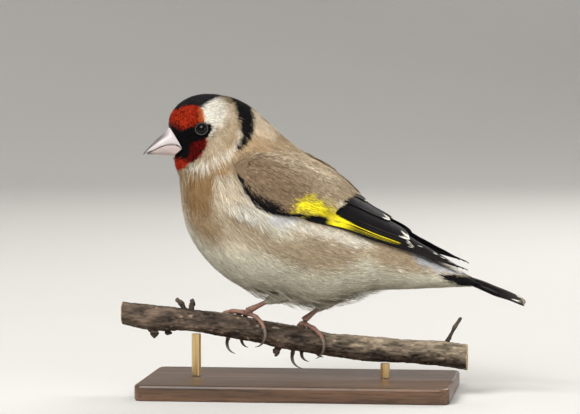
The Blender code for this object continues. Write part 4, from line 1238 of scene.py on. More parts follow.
def make_hairs(side, material):
    """The long, loose, pale feathers of the breast side that lie over the wing's front."""
    draw = np.random.default_rng(HAIR_SEED + side)
    low, high = (1.25, 2.15) if side > 0 else (-2.15, -1.25)

    def density(place, angle):
        spot = straight_body(place, np.abs(angle))
        x, z = spot[..., 0], spot[..., 2]
        return 1.3 * within(x, z, HAIR_ROOTS, 2.5)

    a, b = scatter(body_frame, 8.0, 12.5, 120, low, high, 120, density, draw)
    tufts = Tufts(body_frame, a, b, draw)
    tufts.length = draw.uniform(4.8, 7.6, len(a))
    tufts.spread, tufts.width = 0.16, 0.055
    tufts.heading = draw.normal(0, 0.14, len(a)) + 0.10 * side
    tufts.low, tufts.high = -0.5, draw.uniform(1.0, 2.4, len(a))
    tufts.locks, tufts.softness = 6, 0.6
    spot = straight_body(a, np.abs(b))
    pale = np.tile(tint("cream") * 1.15, (len(a), 1))
    tip = dye(pale, tint("white"), ease((66.0 - spot[:, 2]) / 6.0) * 0.9)
    name = "side_hairs_" + SIDE_NAMES[side]
    hairs = tufts.build(name, tip * 0.55, tip, material, skin_uv, 0.2)


def sleeve_frame(leg):
    """A frame function over the feathered sleeve of a leg, by share along it and turn round it."""
    heel, way = np.array(leg["heel"]), leg_direction(leg)
    side = unit(np.cross(way, (0.0, 1.0, 0.0)))
    other = np.cross(way, side)

    def point_at(along, turn):
        reach = np.interp(along, (-0.6, 0.0, 0.45, 0.8, 1.0, 1.3), (3.4, 2.7, 2.1, 1.5, 1.05, 0.8))
        round_it = np.cos(turn)[..., None] * side + np.sin(turn)[..., None] * other
        return heel + (along * leg["trouser"])[..., None] * way + reach[..., None] * round_it

    def at(along, turn):
        along, turn = np.broadcast_arrays(np.asarray(along, float), np.asarray(turn, float))
        point = point_at(along, turn)
        ahead, around = slopes(point_at, along, turn, 0.01)
        out = unit(np.cross(ahead, around))
        off = point - (heel + (along * leg["trouser"])[..., None] * way)
        return point, ahead, around, out * np.sign((out * off).sum(-1))[..., None]

    return at


def sleeve_uv(along, turn):
    """A sleeve's unwrap: round it across, and down it upwards."""
    return np.stack([0.5 + turn / 7.0, 0.5 + along / 3.0], axis=-1)


def make_sleeve(name, leg, material):
    """The soft feathers round the top of a leg."""
    draw = np.random.default_rng(len(name))
    frame_at = sleeve_frame(leg)
    a, b = scatter(frame_at, -0.5, 0.82, 60, -math.pi, math.pi, 60, SLEEVE_DENSITY, draw)
    tufts = Tufts(frame_at, a, b, draw)
    tufts.length = draw.uniform(2.0, 3.4, len(a))
    tufts.spread, tufts.width = 0.2, 0.07
    tufts.low, tufts.high = -0.9, draw.uniform(0.0, 0.5, len(a))
    tufts.softness = 0.66
    paint = np.tile(tint("belly") * 0.85, (len(a), 1))
    sleeve = tufts.build("sleeve_" + name, paint * 0.7, paint, material, sleeve_uv, 0.14)


def make_bristles(material):
    """Short black bristles that lean forward over the base of the bill."""
    draw = np.random.default_rng(BRISTLE_SEED)
    a, b = scatter(body_frame, 0.25, 1.5, 24, -math.pi, math.pi, 300, BRISTLE_DENSITY, draw)
    spot = straight_body(a, np.abs(b))
    keep = (spot[:, 2] < 86.0) & (spot[:, 2] > 73.6)
    a, b = a[keep], b[keep]
    tufts = Tufts(body_frame, a, b, draw)
    tufts.heading = math.pi + draw.normal(0, 0.35, len(a))
    tufts.length = draw.uniform(1.0, 1.9, len(a))
    tufts.spread, tufts.width = 0.22, 0.035
    tufts.low, tufts.high = -0.3, draw.uniform(0.1, 0.5, len(a))
    tufts.locks, tufts.steps = 4, 2
    paint = np.tile(tint("black"), (len(a), 1))
    bristles = tufts.build("bristles", paint * 0.6, paint * 1.2, material, skin_uv, 0.2)


def wing_rim(along, across):
    """How far a place on the wing lies from its front and its two edges, 1 and more well inside."""
    return np.minimum(np.minimum(across, 1 - across) / 0.14, (along + 0.01) / 0.07)


def make_drape(side, material):
    """The small feathers that cover the folded wing's front and run out over the long ones."""
    draw = np.random.default_rng(DRAPE_SEED + side)
    frame_at = wing_frame(side)
    a, c = scatter(frame_at, 0.0, 0.40, 110, 0.0, 1.0, 90, DRAPE_DENSITY, draw)
    keep = a < np.interp(c, (0.0, 0.15, 0.75, 0.9, 1.0), (0.395, 0.385, 0.375, 0.34, 0.31))
    a, c = a[keep], c[keep]
    tufts = Tufts(frame_at, a, c, draw)
    tufts.length = np.interp(a, (0, 0.1, 0.4), (3.2, 4.4, 4.6)) * draw.uniform(0.8, 1.2, len(a))
    tufts.spread, tufts.width = 0.2, 0.105
    tufts.heading = np.interp(c, (0, 0.3, 0.8, 1.0), (0.05, 0.30, 0.25, 0.0))
    tufts.heading = tufts.heading + draw.normal(0, 0.06, len(a))
    rim = 1 - ease(wing_rim(a, c))
    top = 0.5 + 1.15 * (1 - rim) + (0.55 + 0.8 * rim) * ease((a - 0.24) / 0.12)
    tufts.low, tufts.high = top - 0.9, top + 0.5
    tufts.softness = 0.62
    base, tip = drape_colours(*marked_at(tufts), draw)
    name = "drape_" + SIDE_NAMES[side]
    piece = tufts.build(name, base, tip, material, wing_uv, 0.3)


def make_arm(side, material):
    """The feathered skin of the arm and hand, under the drape and the roots of the long vanes."""
    name = SIDE_NAMES[side]
    along, across = np.meshgrid(np.linspace(0.0, 0.5, 36), np.linspace(0, 1, 24), indexing="ij")
    point, out = wing_point(side, along, across)
    edge = np.minimum(wing_rim(along, across), (0.52 - along) / 0.1)
    upper = point + out * (0.35 + 1.15 * ease(edge))[..., None]
    points, triangles = closed_sheet(upper, point + out * 0.05)
    along, across = along.ravel(), across.ravel()
    base, tip = drape_colours(along, across, np.random.default_rng(ARM_SEED))
    paint = np.concatenate([base + 0.25 * tip] * 2)
    uv = np.concatenate([wing_uv(along, across)] * 2)
    arm = make_mesh("arm_" + name, points, triangles, material, paint, uvs=uv)
    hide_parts("wing_" + name)


def closed_sheet(upper, lower):
    """Points and triangles of a closed sheet between two grids, split alike on both faces."""
    rows, columns = upper.shape[:2]
    count = rows * columns
    face = grid_triangles(rows, columns, False)
    rim = np.concatenate(
        [
            np.arange(columns),
            np.arange(1, rows) * columns + columns - 1,
            (rows - 1) * columns + np.arange(columns - 2, -1, -1),
            np.arange(rows - 2, 0, -1) * columns,
        ]
    )
    after = np.roll(rim, -1)
    wall = np.concatenate(
        [np.stack([rim, after, count + after], 1), np.stack([rim, count + after, count + rim], 1)]
    )
    points = np.concatenate([upper.reshape(-1, 3), lower.reshape(-1, 3)])
    triangles = np.concatenate([face, count + face[:, ::-1], wall])
    return points, facing_out(points, triangles)


def feather_outline(t, kind):
    """Half width of a long feather along its length, as a share of the widest."""
    rise = 0.45 + 0.55 * ease(t / 0.3)
    start = VANE_KINDS[kind][0]
    fall = np.clip((t - start) / (1 - start), 0, 1)
    return rise * np.sqrt(np.maximum(1 - fall**2.4, 0.0))


def bar_share(along, across):
    """How far a place on the wing lies in the yellow bar."""
    top = np.interp(along, *BAR_TOP)
    low = np.interp(along, *BAR_LOW)
    end = ease((0.668 - along) / 0.012) * ease((along - 0.42 + 0.1 * (0.9 - across)) / 0.02)
    return ease((across - top) / 0.02 + 0.5) * ease((low - across) / 0.015 + 0.5) * end


def feather_paint(kind, t, s, along, across):
    """Colours over one long feather: t runs to its tip and s from its upper to its lower edge."""
    paint = np.tile(tint("black") * 1.5, (*t.shape, 1))
    if kind != "tertial":
        web = 1 - ease((s - 0.86) / 0.03) * ease((along - 0.47) / 0.05)
        paint = dye(paint, tint("yellow"), bar_share(along, across) * web)
    fringe = ease((s - 0.90) / 0.05) * ease((t - 0.45) / 0.2) * (1 - bar_share(along, across))
    _, length, rim = VANE_KINDS[kind]
    paint = dye(paint, tint("cream") * 0.12, rim * fringe)
    if length:
        ragged = length * (0.8 + 0.35 * np.sin(s * 9.0) + 0.2 * np.sin(s * 23.0))
        spot = ease((t - (1 - ragged)) / 0.008) * ease((s + 0.5) / 0.3)
        paint = dye(paint, tint("white") * 1.1, spot)
    shaft = np.exp(-(((s - 0.25) / 0.05) ** 2))
    return dye(paint, paint * 0.5, 0.6 * shaft + 0 * t)


def blade(upper, out, paint, vane, uv):
    """Arrays of a thin closed blade below its upper face, with both faces painted alike."""
    points, triangles = closed_sheet(upper, upper - out * VANE_THICKNESS)
    flat = (held.reshape(-1, held.shape[-1]) for held in (paint, vane, uv))
    return (points, triangles, *(np.concatenate([held] * 2) for held in flat))


def long_feather(side, kind, start, tip, width, level):
    """Arrays of one long feather: a thin cambered blade whose lower edge lies over the next."""
    t = np.linspace(0, 1, VANE_ROWS)[:, None] ** 0.85
    s = np.array(VANE_SPREAD)[None, :]
    half = 0.5 * width * feather_outline(t, kind)
    along = start[0] + (tip[0] - start[0]) * t + 0 * s
    round_off = 0.5 * width * 0.35 * (1 - feather_outline(t, kind)) * ease((t - 0.6) / 0.3)
    across = start[1] + (tip[1] - start[1]) * t - half * (1 - s) - round_off
    tilt = 0.40 * (s + 1) / 2 * ease(t / 0.3)
    camber = 0.18 * (1 - s**2) * ease(t / 0.2) * (1 - 0.8 * ease((t - 0.8) / 0.2))
    rise = 0.3 + 0.7 * ease((along - 0.34) / 0.12)
    height = WING_SKIN_OFF + (level + tilt) * rise + camber
    over = np.clip(across, -0.02, 1.08)
    point, out = wing_point(side, along, over)
    upper = point + out * height[..., None]
    t, s = np.broadcast_arrays(t, s)
    paint = feather_paint(kind, t, s, along, across)
    length = np.linalg.norm(upper[-1, 5] - upper[0, 5])
    breadth = np.linalg.norm(upper[VANE_ROWS // 2, -1] - upper[VANE_ROWS // 2, 0]) / 2
    vane = np.stack([t * length - np.abs(s) * breadth * 0.8, s * breadth, 0 * t + level * 9], -1)
    return blade(upper, out, paint, vane, wing_uv(along, over))


def stacked(parts):
    """Joins the arrays of many parts into those of one mesh."""
    points, triangles, shift = [], [], 0
    for part in parts:
        points.append(part[0])
        triangles.append(part[1] + shift)
        shift += len(part[0])
    rest = [np.concatenate([part[k] for part in parts]) for k in range(2, len(parts[0]))]
    return [np.concatenate(points), np.concatenate(triangles), *rest]


def build_vanes(name, parts, material):
    """One piece from the arrays of its blades."""
    points, triangles, paint, vane, uv = stacked(parts)
    piece = make_mesh(name, points, triangles, material, paint, uvs=uv, vane=vane)
    return piece


def between(pair, share):
    """A point of a pair of ends, at a share between them."""
    first, last = np.array(pair[0]), np.array(pair[1])
    return first + (last - first) * share


def make_long_feathers(side, material):
    """Primaries, secondaries and tertials of one folded wing, each in a piece of its own kind."""
    name = SIDE_NAMES[side]
    draw = np.random.default_rng(VANE_SEED + side)
    parts = []
    for number in range(PRIMARY_COUNT):
        share = number / (PRIMARY_COUNT - 1)
        tip = between(PRIMARY_TIPS, share**0.85) + draw.normal(0, 0.003, 2)
        start = between(PRIMARY_EDGES, share)
        parts.append(long_feather(side, "primary", start, tip, PRIMARY_WIDTH, 0.42 - 0.30 * share))
    for number, (start, tip) in enumerate(OUTER_PRIMARIES):
        parts.append(long_feather(side, "outer", start, tip, OUTER_WIDTH, 0.07 - 0.04 * number))
    build_vanes("primaries_" + name, parts, material)
    parts = []
    for number in range(SECONDARY_COUNT):
        share = number / (SECONDARY_COUNT - 1)
        tip = between(SECONDARY_TIPS, share) + draw.normal(0, 0.003, 2)
        start = between(SECONDARY_EDGES, share)
        level = 0.80 - 0.3 * share
        parts.append(long_feather(side, "secondary", start, tip, SECONDARY_WIDTH, level))
    build_vanes("secondaries_" + name, parts, material)
    parts = []
    for number, (start, tip, width) in enumerate(TERTIALS):
        parts.append(long_feather(side, "tertial", start, tip, width, 1.30 - 0.22 * number))
    build_vanes("tertials_" + name, parts, material)


# Tail


def tail_feather(side, number):
    """Arrays of one tail feather: the middle pair lies on top and the outer ones below it."""
    t = np.linspace(0, 1, VANE_ROWS)[:, None]
    s = np.array(VANE_SPREAD)[None, :]
    share = number / (TAIL_PAIRS - 1)
    reach = 1.0 - 0.055 * (1 - share) ** 2
    centre = side * mix(0.13, 0.78, share) * (0.35 + 0.65 * t)
    width = mix(0.26, 0.22, share) * (0.55 + 0.45 * ease(t / 0.35))
    close = np.clip((t - 0.88) / 0.12, 0, 1)
    width = width * np.sqrt(np.maximum(1 - close**2.2, 0.0))
    slant = 0.02 * s * side * ease((t - 0.8) / 0.2)
    along = TAIL_ROOT_SHARE + (reach - TAIL_ROOT_SHARE) * t + slant
    across = centre + width * s
    # The pairs lie over each other at the root and flatten out towards the tip.
    end = ease((t - 0.5) / 0.5)
    stack = mix(0.75, -0.75, share) * (1 - 0.7 * ease((t - 0.4) / 0.6)) + 0.9 * end
    tilt = mix(0.05, 0.55, share) * side * s * (1 - 0.75 * end)
    height = stack + 0.1 * (1 - s**2) - tilt
    upper = tail_point(along, across) + height[..., None] * UP
    # Black, with a white spot on the inner web, a pale tip and a faint rim.
    t, s = np.broadcast_arrays(t, s)
    paint = np.tile(tint("black") * 1.2, (*t.shape, 1))
    spot_at, spot_length = mix(0.94, 0.86, share), mix(0.02, 0.06, share)
    spot = ease(1.5 - np.abs(t - spot_at) / spot_length) * ease((-side * s + 0.45) / 0.3)
    if number == 0:
        spot = ease((t - 0.95) / 0.02) * 0.8
    paint = dye(paint, tint("white"), np.clip(spot, 0, 1))
    paint = dye(paint, tint("cream"), 0.8 * ease((t - 0.965) / 0.02))
    paint = dye(paint, tint("cream") * 0.15, 0.3 * ease((side * s - 0.88) / 0.06))
    vane = np.stack([t * 22 - np.abs(s) * 1.6, s * 2, 0 * t + number * 7 + side * 3], -1)
    return blade(upper, UP, paint, vane, np.stack([0.5 + 0.2 * across, 0.1 + 0.8 * along], -1))


def tail_core():
    """Arrays of the solid root of the tail, under its feathers."""
    along = np.linspace(TAIL_ROOT_SHARE, 0.7, 8)[:, None]
    across = np.linspace(-0.8, 0.8, 9)[None, :]
    point = tail_point(along, across)
    thick = (0.30 * (1 - across**2) * (1 - 0.8 * ease((along - 0.3) / 0.4)))[..., None] * UP
    points, triangles = closed_sheet(point - UP * 0.1 + thick, point - UP * 0.45 - thick)
    count = len(points)
    paint = np.tile(tint("black") * 1.5, (count, 1))
    return points, triangles, paint, np.zeros((count, 3)), np.zeros((count, 2)) + 0.5


def make_tail(material):
    """The pairs of tail feathers, laid over each other round their common root."""
    parts = []
    for number in range(TAIL_PAIRS):
        for side in (BIRD_LEFT, BIRD_RIGHT):
            parts.append(tail_feather(side, number))
    parts.append(tail_core())
    tail = build_vanes("rectrices", parts, material)
    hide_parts("tail")


# Eyes and bill


def ball_mesh(centre, radius, segments, rings, out):
    """Points and triangles of a ball whose pole faces out."""
    side = tangents(out)[0]
    other = np.cross(out, side)
    tilt = np.linspace(0, math.pi, rings)[1:-1][:, None]
    spin = full_turn(segments)[None, :]
    rings = (
        (np.cos(tilt) + 0 * spin)[..., None] * out
        + (np.sin(tilt) * np.cos(spin))[..., None] * side
        + (np.sin(tilt) * np.sin(spin))[..., None] * other
    )
    points, triangles = capped_grid(centre + rings * radius)
    points[-2], points[-1] = centre + out * radius, centre - out * radius
    return points, facing_out(points, triangles)


def tangents(out):
    """Two ways across a direction: the first points along the bird and the second up."""
    side = unit(np.cross(out, (0.0, 0.0, 1.0)))
    return side, np.cross(side, out)


def make_eye(side):
    """A dark, wet eyeball with a paler brown iris round its pupil."""
    name = SIDE_NAMES[side]
    point, out = eye_seat(side)
    centre = point - out * math.sqrt(EYE_RADIUS**2 - EYE_SHOWN_RADIUS**2)
    points, triangles = ball_mesh(centre, EYE_RADIUS, 48, 33, out)
    off = np.linalg.norm(np.cross(points - centre, out), axis=-1) / EYE_RADIUS
    iris = np.exp(-(((off - 0.52) / 0.16) ** 2))
    paint = dye(np.tile(EYE_BLACK, (len(points), 1)), IRIS_BROWN, iris)
    eye = make_mesh("eyeball_" + name, points, triangles, eye_material(), paint)
    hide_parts("eye_" + name)


def eye_material():
    """Wet and nearly black, faintly cloudy."""
    shader = Shader("wet eye", Roughness=0.05, Specular_IOR_Level=0.14)
    shader.painted(shader.ramp(shader.noise(900.0, 2.0), (0.3, 0.8), (0.7, 1.2)))
    shader.roughness(shader.noise(2500.0, 3.0), 0.035, 0.09)
    return shader.material


def make_lids(side, material):
    """The bare rim of the lids: a ring of fine beads round the shown part of the eye."""
    around, sides, beads = 104, 10, 26
    point, out = eye_seat(side)
    ahead, up = tangents(out)
    turns, roll = full_turn(around), full_turn(sides)
    across = 1.0 + 0.10 * np.abs(np.cos(turns)) ** 3
    circle = np.cos(turns)[:, None] * ahead + np.sin(turns)[:, None] * up
    reach = (EYE_SHOWN_RADIUS + 0.17) * across
    bead = (0.14 + 0.05 * np.cos(turns * beads))[:, None]
    middle = point + circle * reach[:, None] + out * (0.10 - 0.05 * across)[:, None]
    rings = (
        middle[:, None]
        + (np.cos(roll) * bead)[..., None] * circle[:, None]
        + (np.sin(roll) * bead * 0.85)[..., None] * out
    )
    points = rings.reshape(-1, 3)
    triangles = grid_triangles(around + 1, sides, True) % len(points)
    shade = 0.65 + 0.35 * np.cos(turns * beads)
    paint = np.repeat(shade, sides)[:, None] * LID_GREY
    name = "lids_" + SIDE_NAMES[side]
    lids = make_mesh(name, points, facing_out(points, triangles), material, paint)


def bill_surface(rows, place, turn, arch_up):
    """Points of one mandible by row number and turn, 0 on its arched or flat upper side."""
    row = spline(rows, place)
    top_x, top_z, low_x, low_z, width = np.moveaxis(row, -1, 0)
    up = np.cos(turn)
    if arch_up:
        share = np.where(up > 0, np.abs(up) ** 0.85, 0.0)
    else:
        share = np.where(up < 0, 1 - np.abs(up) ** 0.8, 1.0)
    x, z = low_x + (top_x - low_x) * share, low_z + (top_z - low_z) * share
    return turned(np.stack([x, width * np.sin(turn), z], -1), 0.0)


def bill_half(name, rows, arch_up, material):
    """One mandible: arched above and dark along its ridge, or flat above and plain below."""
    rows, sides = np.array(rows), 64
    # Along the mouth the two are drawn closer than the solids are, to a hair's width.
    rows[:, 3 if arch_up else 1] += -0.06 if arch_up else 0.16
    last = len(rows) - 1
    place, turn = np.meshgrid(np.linspace(0, last, 72), full_turn(sides), indexing="ij")
    points, triangles = capped_grid(bill_surface(rows, place, turn, arch_up))
    share = np.concatenate([place.ravel() / last, [0.0, 1.0]])
    up = np.cos(np.concatenate([turn.ravel(), [0.0, 0.0]]))
    cream = 0.9 + 0.1 * lattice_noise(points * (0.5, 1, 1), 1.2, 5)
    stain = ease(0.5 + lattice_noise(points, 1.6, 6)) * ease((0.85 - share) / 0.3)
    paint = tint("horn") * cream[:, None]
    if arch_up:
        ridge = ease((up - 0.42) / 0.35) * ease((share - 0.05) / 0.4)
        dark = 0.9 * np.clip(0.9 * ridge + 0.9 * ease((share - 0.60) / 0.3), 0, 1)
        mouth = 0.45 * ease((0.12 - up) / 0.2) * ease((share + 0.02) / 0.1)
    else:
        paint = paint * LOWER_BILL_TINT
        dark = 0.8 * ease((share - 0.70) / 0.25)
        mouth = 0.6 * ease((up - 0.1) / 0.3)
    paint = dye(dye(paint, BILL_TIP, dark), BILL_MOUTH, mouth * stain)
    piece = make_mesh(name, points, facing_out(points, triangles), material, paint)
    return piece


def make_bill():
    """Both mandibles, of streaked and faintly translucent horn."""
    shader = Shader(
        "bill horn",
        Roughness=0.34,
        Specular_IOR_Level=0.5,
        Subsurface_Weight=0.12,
        Subsurface_Radius=(0.0012, 0.0006, 0.0004),
    )
    streak = shader.noise(420.0, 4.0, shader.stretched(shader.place(), (0.35, 1.0, 1.0)))
    shader.painted(shader.ramp(streak, (0.3, 0.86), (0.7, 1.08)))
    shader.roughness(shader.noise(1500.0), 0.26, 0.46)
    shader.bump(streak, 0.25, 0.00008)
    upper = bill_half("upper_mandible", UPPER_BILL, True, shader.material)
    lower = bill_half("lower_mandible", LOWER_BILL, False, shader.material)
    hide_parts("bill_upper")
    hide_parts("bill_lower")


# Legs, branch and stand


def leg_direction(leg):
    """The way down a leg, from its heel to the ball of its foot."""
    return unit(np.array(leg["ball"]) - np.array(leg["heel"]))


def toe_path(leg, toe, count):
    """Points along one toe's middle line, from the ball of the foot round the branch."""
    _, travel, wrapped, stand_off = toe[:4]
    steps = np.linspace(0, 1, count)
    start = math.copysign(TOE_START_ANGLE, wrapped)
    x = leg["ball"][0] + travel * (0.1 + 0.9 * (1.6 * steps - 0.6 * steps**2))
    degrees = start + (wrapped - start) * steps
    height = GAP + 0.08 + TOE_RADIUS * (1.12 - 0.1 * steps) + stand_off * steps**3
    return on_perch(x, degrees, height)


def scaled_tube(path, radii, sides, scale_length, scale_height):
    """A tube covered by scales that each rise and end in a step, and the painted shade of its points,
    darkest at each step.
    """
    rings = tube_rings(path, np.ones(len(path)), sides)
    way = np.concatenate([[0.0], np.cumsum(np.linalg.norm(np.diff(path, axis=0), axis=-1))])
    shift = 0.5 * np.sin(full_turn(sides) * 2)
    phase = (way[:, None] / scale_length + shift[None, :]) % 1.0
    edge = scale_height * (phase**0.7) * (1 - ease((phase - 0.86) / 0.14))
    reach = radii[:, None] + edge
    points, triangles = capped_grid(path[:, None] + (rings - path[:, None]) * reach[..., None])
    # Painted shade: each scale is darker just before its step, where the next one overlaps it.
    shade = 1.12 - 0.55 * ease((phase - 0.70) / 0.18) * ease((1.02 - phase) / 0.08)
    return points, triangles, np.concatenate([shade.ravel(), [1.0, 1.0]])


def make_leg(name, leg, material):
    """The scaled shank below the feathered sleeve, with the pad of the foot and its four toes."""
    way = leg_direction(leg)
    heel, ball = np.array(leg["heel"]), np.array(leg["ball"])
    start = heel + way * (leg["trouser"] - 2.2)
    steps = np.linspace(0, 1, 120)
    shank = start + (ball - start) * steps[:, None]
    radii = np.interp(steps, np.linspace(0, 1, len(LEG_RADII)), LEG_RADII) * 0.98
    parts = [scaled_tube(shank, radii, 18, 1.15, 0.13)]
    for toe in leg["toes"]:
        path = toe_path(leg, toe, 96)
        steps = np.linspace(0, 1, len(path))
        knuckles = 1 + 0.12 * np.cos(steps * 3 * 2 * math.pi)
        radii = (TOE_RADIUS - 0.04) * knuckles * np.linspace(1.05, 0.84, len(path))
        parts.append(scaled_tube(path, radii * 0.94, 16, 0.72, 0.17))
    pad, faces = ball_mesh(ball, 1.18, 26, 17, np.array((0.0, 0.0, 1.0)))
    parts.append((pad, faces, np.ones(len(pad))))
    points, triangles, shade = stacked(parts)
    patch = lattice_noise(points, 0.9, 8)
    # The skin takes the scales' painted shade and random patches.
    paint = tint("flesh") * (shade * (1 + 0.3 * patch))[:, None]
    piece = make_mesh(name, points, triangles, material, paint)
    return piece


def make_claw(name, leg, toe, material):
    """A curved, tapering claw that grows out of a toe's end."""
    length, bend, curl = toe[4], math.radians(toe[5]), np.array(toe[6])
    path = toe_path(leg, toe, 8)
    way = unit(path[-1] - path[-2])
    curl = unit(curl - way * (curl @ way))
    turns = np.linspace(-0.25, bend, 40)
    radius = length / bend
    points = (
        path[-1]
        + GAP * way
        + radius * np.sin(turns)[:, None] * way
        + radius * (1 - np.cos(turns))[:, None] * curl
    )
    share = np.clip(turns / bend, 0, 1)
    radii, sides = 0.52 * (1 - share**1.4) + 0.07, 16
    mesh, triangles = capped_grid(tube_rings(points, radii, sides))
    pale = np.concatenate([np.repeat(1 - share, sides), [1.0, 0.0]])
    paint = dye(np.tile(tint("claw") * 0.7, (len(mesh), 1)), tint("claw") * 1.5, 0.8 * pale)
    claw = make_mesh(name, mesh, facing_out(mesh, triangles), material, paint)
    return claw


def make_feet():
    """Both legs with their toes, and the eight claws."""
    skin = Shader("leg skin", Roughness=0.55, Specular_IOR_Level=0.4)
    grain = skin.noise(2200.0, 4.0)
    skin.painted(skin.ramp(grain, (0.3, 0.82), (0.7, 1.15)))
    skin.roughness(grain, 0.42, 0.68)
    skin.bump(grain, 0.35, 0.00006)
    horn = Shader("claw horn", Roughness=0.32, Specular_IOR_Level=0.5)
    streak = horn.noise(1800.0, 3.0)
    horn.painted(horn.ramp(streak, (0.3, 0.8), (0.7, 1.2)))
    horn.roughness(streak, 0.24, 0.45)
    for name, leg in LEGS.items():
        foot = make_leg("shank_" + name, leg, skin.material)
        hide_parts("leg_" + name)
        for toe in leg["toes"]:
            claw = make_claw("nail_" + name + "_" + toe[0], leg, toe, horn.material)
            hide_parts("claw_" + name + "_" + toe[0])


def bark_rings(x, turns):
    """Rings of the branch with its lengthwise ridges and swellings, and the height of each point."""
    z, radius = perch_at(x)
    x, turns = np.broadcast_arrays(x[:, None], turns[None, :])

    def noise(stretch, scale, seed):
        spots = np.stack([x * stretch, 4.0 * np.sin(turns), 4.0 * np.cos(turns)], -1)
        return lattice_noise(spots, scale, seed)

    ridge = noise(0.16, 1.1, 21) * 0.14 + noise(0.5, 0.5, 22) * 0.15
    height = ridge + noise(1.0, 5.0, 23) * 0.12 - 0.10
    reach = radius[:, None] + height
    rings = np.stack([x, reach * np.sin(turns), z[:, None] + reach * np.cos(turns)], -1)
    return rings, height


def branch_stub(x, degrees, length, radius, lean):
    """Points and triangles of one broken stub, rooted in the branch."""
    z, bark = perch_at(x)
    turn, sunk = math.radians(degrees), 1.2
    out = unit(np.array([lean, math.sin(turn), math.cos(turn)]))
    root = np.array([x, 0.0, float(z)]) + out * (bark - sunk)
    steps = np.linspace(0, 1, 30)
    points = root + steps[:, None] * out * (length + sunk)
    thick = radius * np.interp(steps, STUB_STEPS, STUB_RADII)
    bent = 0.35 * np.sin(steps * 7.0 + x)[:, None] * np.array((1.0, 0.4, 0.0)) * steps[:, None]
    rings = tube_rings(points + bent * radius, thick, 20)
    rough = 1 + 0.34 * lattice_noise(rings, 0.8, 24) + 0.16 * lattice_noise(rings, 0.3, 28)
    middle = rings.mean(1, keepdims=True)
    return capped_grid(middle + (rings - middle) * rough[..., None])


def bark_colours(points, height):
    """Painted shade in the furrows, painted light on the ridges and painted sunlight on top of the lit
    end, with pale patches and cut ends.
    """
    x, over = points[:, 0], points[:, 2] - perch_at(points[:, 0])[0]
    broad = lattice_noise(points * (0.5, 1, 1), 3.2, 25)
    # Painted sunlight: the top of the branch's right-hand end is paled as if lit, but not the stubs.
    painted_sunlight = (height != STUB_SHADE) * ease((x - 4.0) / 10.0) * ease((over + 2.0) / 4.0)
    paint = dye(np.tile(tint("bark"), (len(points), 1)), tint("bark_pale_and_sunlit"), 0.85 * painted_sunlight)
    # Painted shade and light: darker where the bark sinks into a furrow and lighter on its ridges,
    # broken up by broad random patches.
    paint = paint * (1 + 2.6 * height + 0.35 * broad)[:, None]
    pale = ease((lattice_noise(points * (0.8, 1.3, 1.3), 1.3, 26) - 0.62) / 0.15)
    paint = dye(paint, tint("bark_pale_and_sunlit"), 0.6 * pale)
    ends = np.array((PERCH_AXIS[0][0], PERCH_AXIS[-1][0]))
    cut = (np.abs(x[:, None] - ends) < 0.02).any(1)
    return dye(paint, CUT_WOOD, cut)


def make_branch():
    """The branch with its stubs, in furrowed bark."""
    x = np.linspace(PERCH_AXIS[0][0], PERCH_AXIS[-1][0], 330)
    rings, height = bark_rings(x, full_turn(110))
    parts = [capped_grid(rings)]
    heights = [height.ravel(), [0.0, 0.0]]
    for stub in PERCH_STUBS:
        parts.append(branch_stub(*stub))
        heights.append(np.full(len(parts[-1][0]), STUB_SHADE))
    points, triangles = stacked(parts)
    paint = bark_colours(points, np.concatenate(heights))
    shader = Shader("bark", Roughness=0.85, Specular_IOR_Level=0.25)
    grain = shader.noise(700.0, 6.0, shader.stretched(shader.place(), (0.3, 1.0, 1.0)))
    shader.painted(shader.ramp(grain, (0.30, 0.35), (0.68, 1.5)))
    shader.roughness(shader.noise(2600.0, 4.0), 0.72, 0.95)
    shader.bump(grain, 1.0, 0.0006)
    branch = make_mesh("branch", points, triangles, shader.material, paint)
    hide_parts("perch")


def wood_material():
    """Dark stained wood, its grain and pores along the base."""
    shader = Shader("stained wood", Roughness=0.38, Coat_Weight=0.15, Coat_Roughness=0.25)
    grain = shader.noise(90.0, 6.0, shader.stretched(shader.place(), (0.14, 2.4, 2.4)))
    pores = shader.noise(1400.0, 3.0, shader.stretched(shader.place(), (0.08, 1.0, 1.0)))
    wood = tint("wood")
    body = shader.ramp(grain, (0.3, wood * 0.5), (0.5, wood), (0.7, wood * 1.7))
    shader.colour(shader.shaded(body, shader.ramp(pores, (0.36, 0.45), (0.5, 1.0)), 0.8))
    shader.roughness(pores, 0.30, 0.5)
    shader.bump(pores, 0.2, 0.0001)
    return shader.material


def brass_material():
    """Brass brushed along the rods."""
    shader = Shader("brushed brass", Metallic=1.0, Roughness=0.3)
    lines = shader.noise(2400.0, 3.0, shader.stretched(shader.place(), (1.0, 1.0, 0.04)))
    brass = tint("brass")
    shader.colour(shader.ramp(lines, (0.3, brass * 0.8), (0.7, np.minimum(brass * 1.1, 1))))
    shader.roughness(lines, 0.22, 0.42)
    shader.bump(lines, 0.15, 0.00005)
    return shader.material


def dress_stand():
    """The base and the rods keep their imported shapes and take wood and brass."""
    wood, brass = wood_material(), brass_material()
    for node, material in (("stand_base", wood), ("stand_rod_1", brass), ("stand_rod_2", brass)):
        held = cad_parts[node].data.materials
        held.clear()
        held.append(material)


# Studio


def aim(thing, way):
    """Turns a camera or a light to face a way."""
    thing.rotation_euler = way.to_track_quat("-Z", "Y").to_euler()


def make_camera():
    """A long lens that looks at the bird's left side from a little behind and above."""
    turn, rise = math.radians(VIEW_AZIMUTH), math.radians(VIEW_ELEVATION)
    away = Vector((math.sin(turn) * math.cos(rise), -math.cos(turn) * math.cos(rise), math.sin(rise)))
    target = Vector(TARGET) * MM
    data = bpy.data.cameras.new("Camera")
    data.lens, data.sensor_width = 200.0, 36.0
    data.clip_start, data.clip_end = 0.05, 20.0
    camera = bpy.data.objects.new("Camera", data)
    camera.location = target + away * sizes().camera_distance
    aim(camera, -away)
    bpy.context.scene.collection.objects.link(camera)
    bpy.context.scene.camera = camera
    bpy.context.scene.view_settings.view_transform = "Standard"


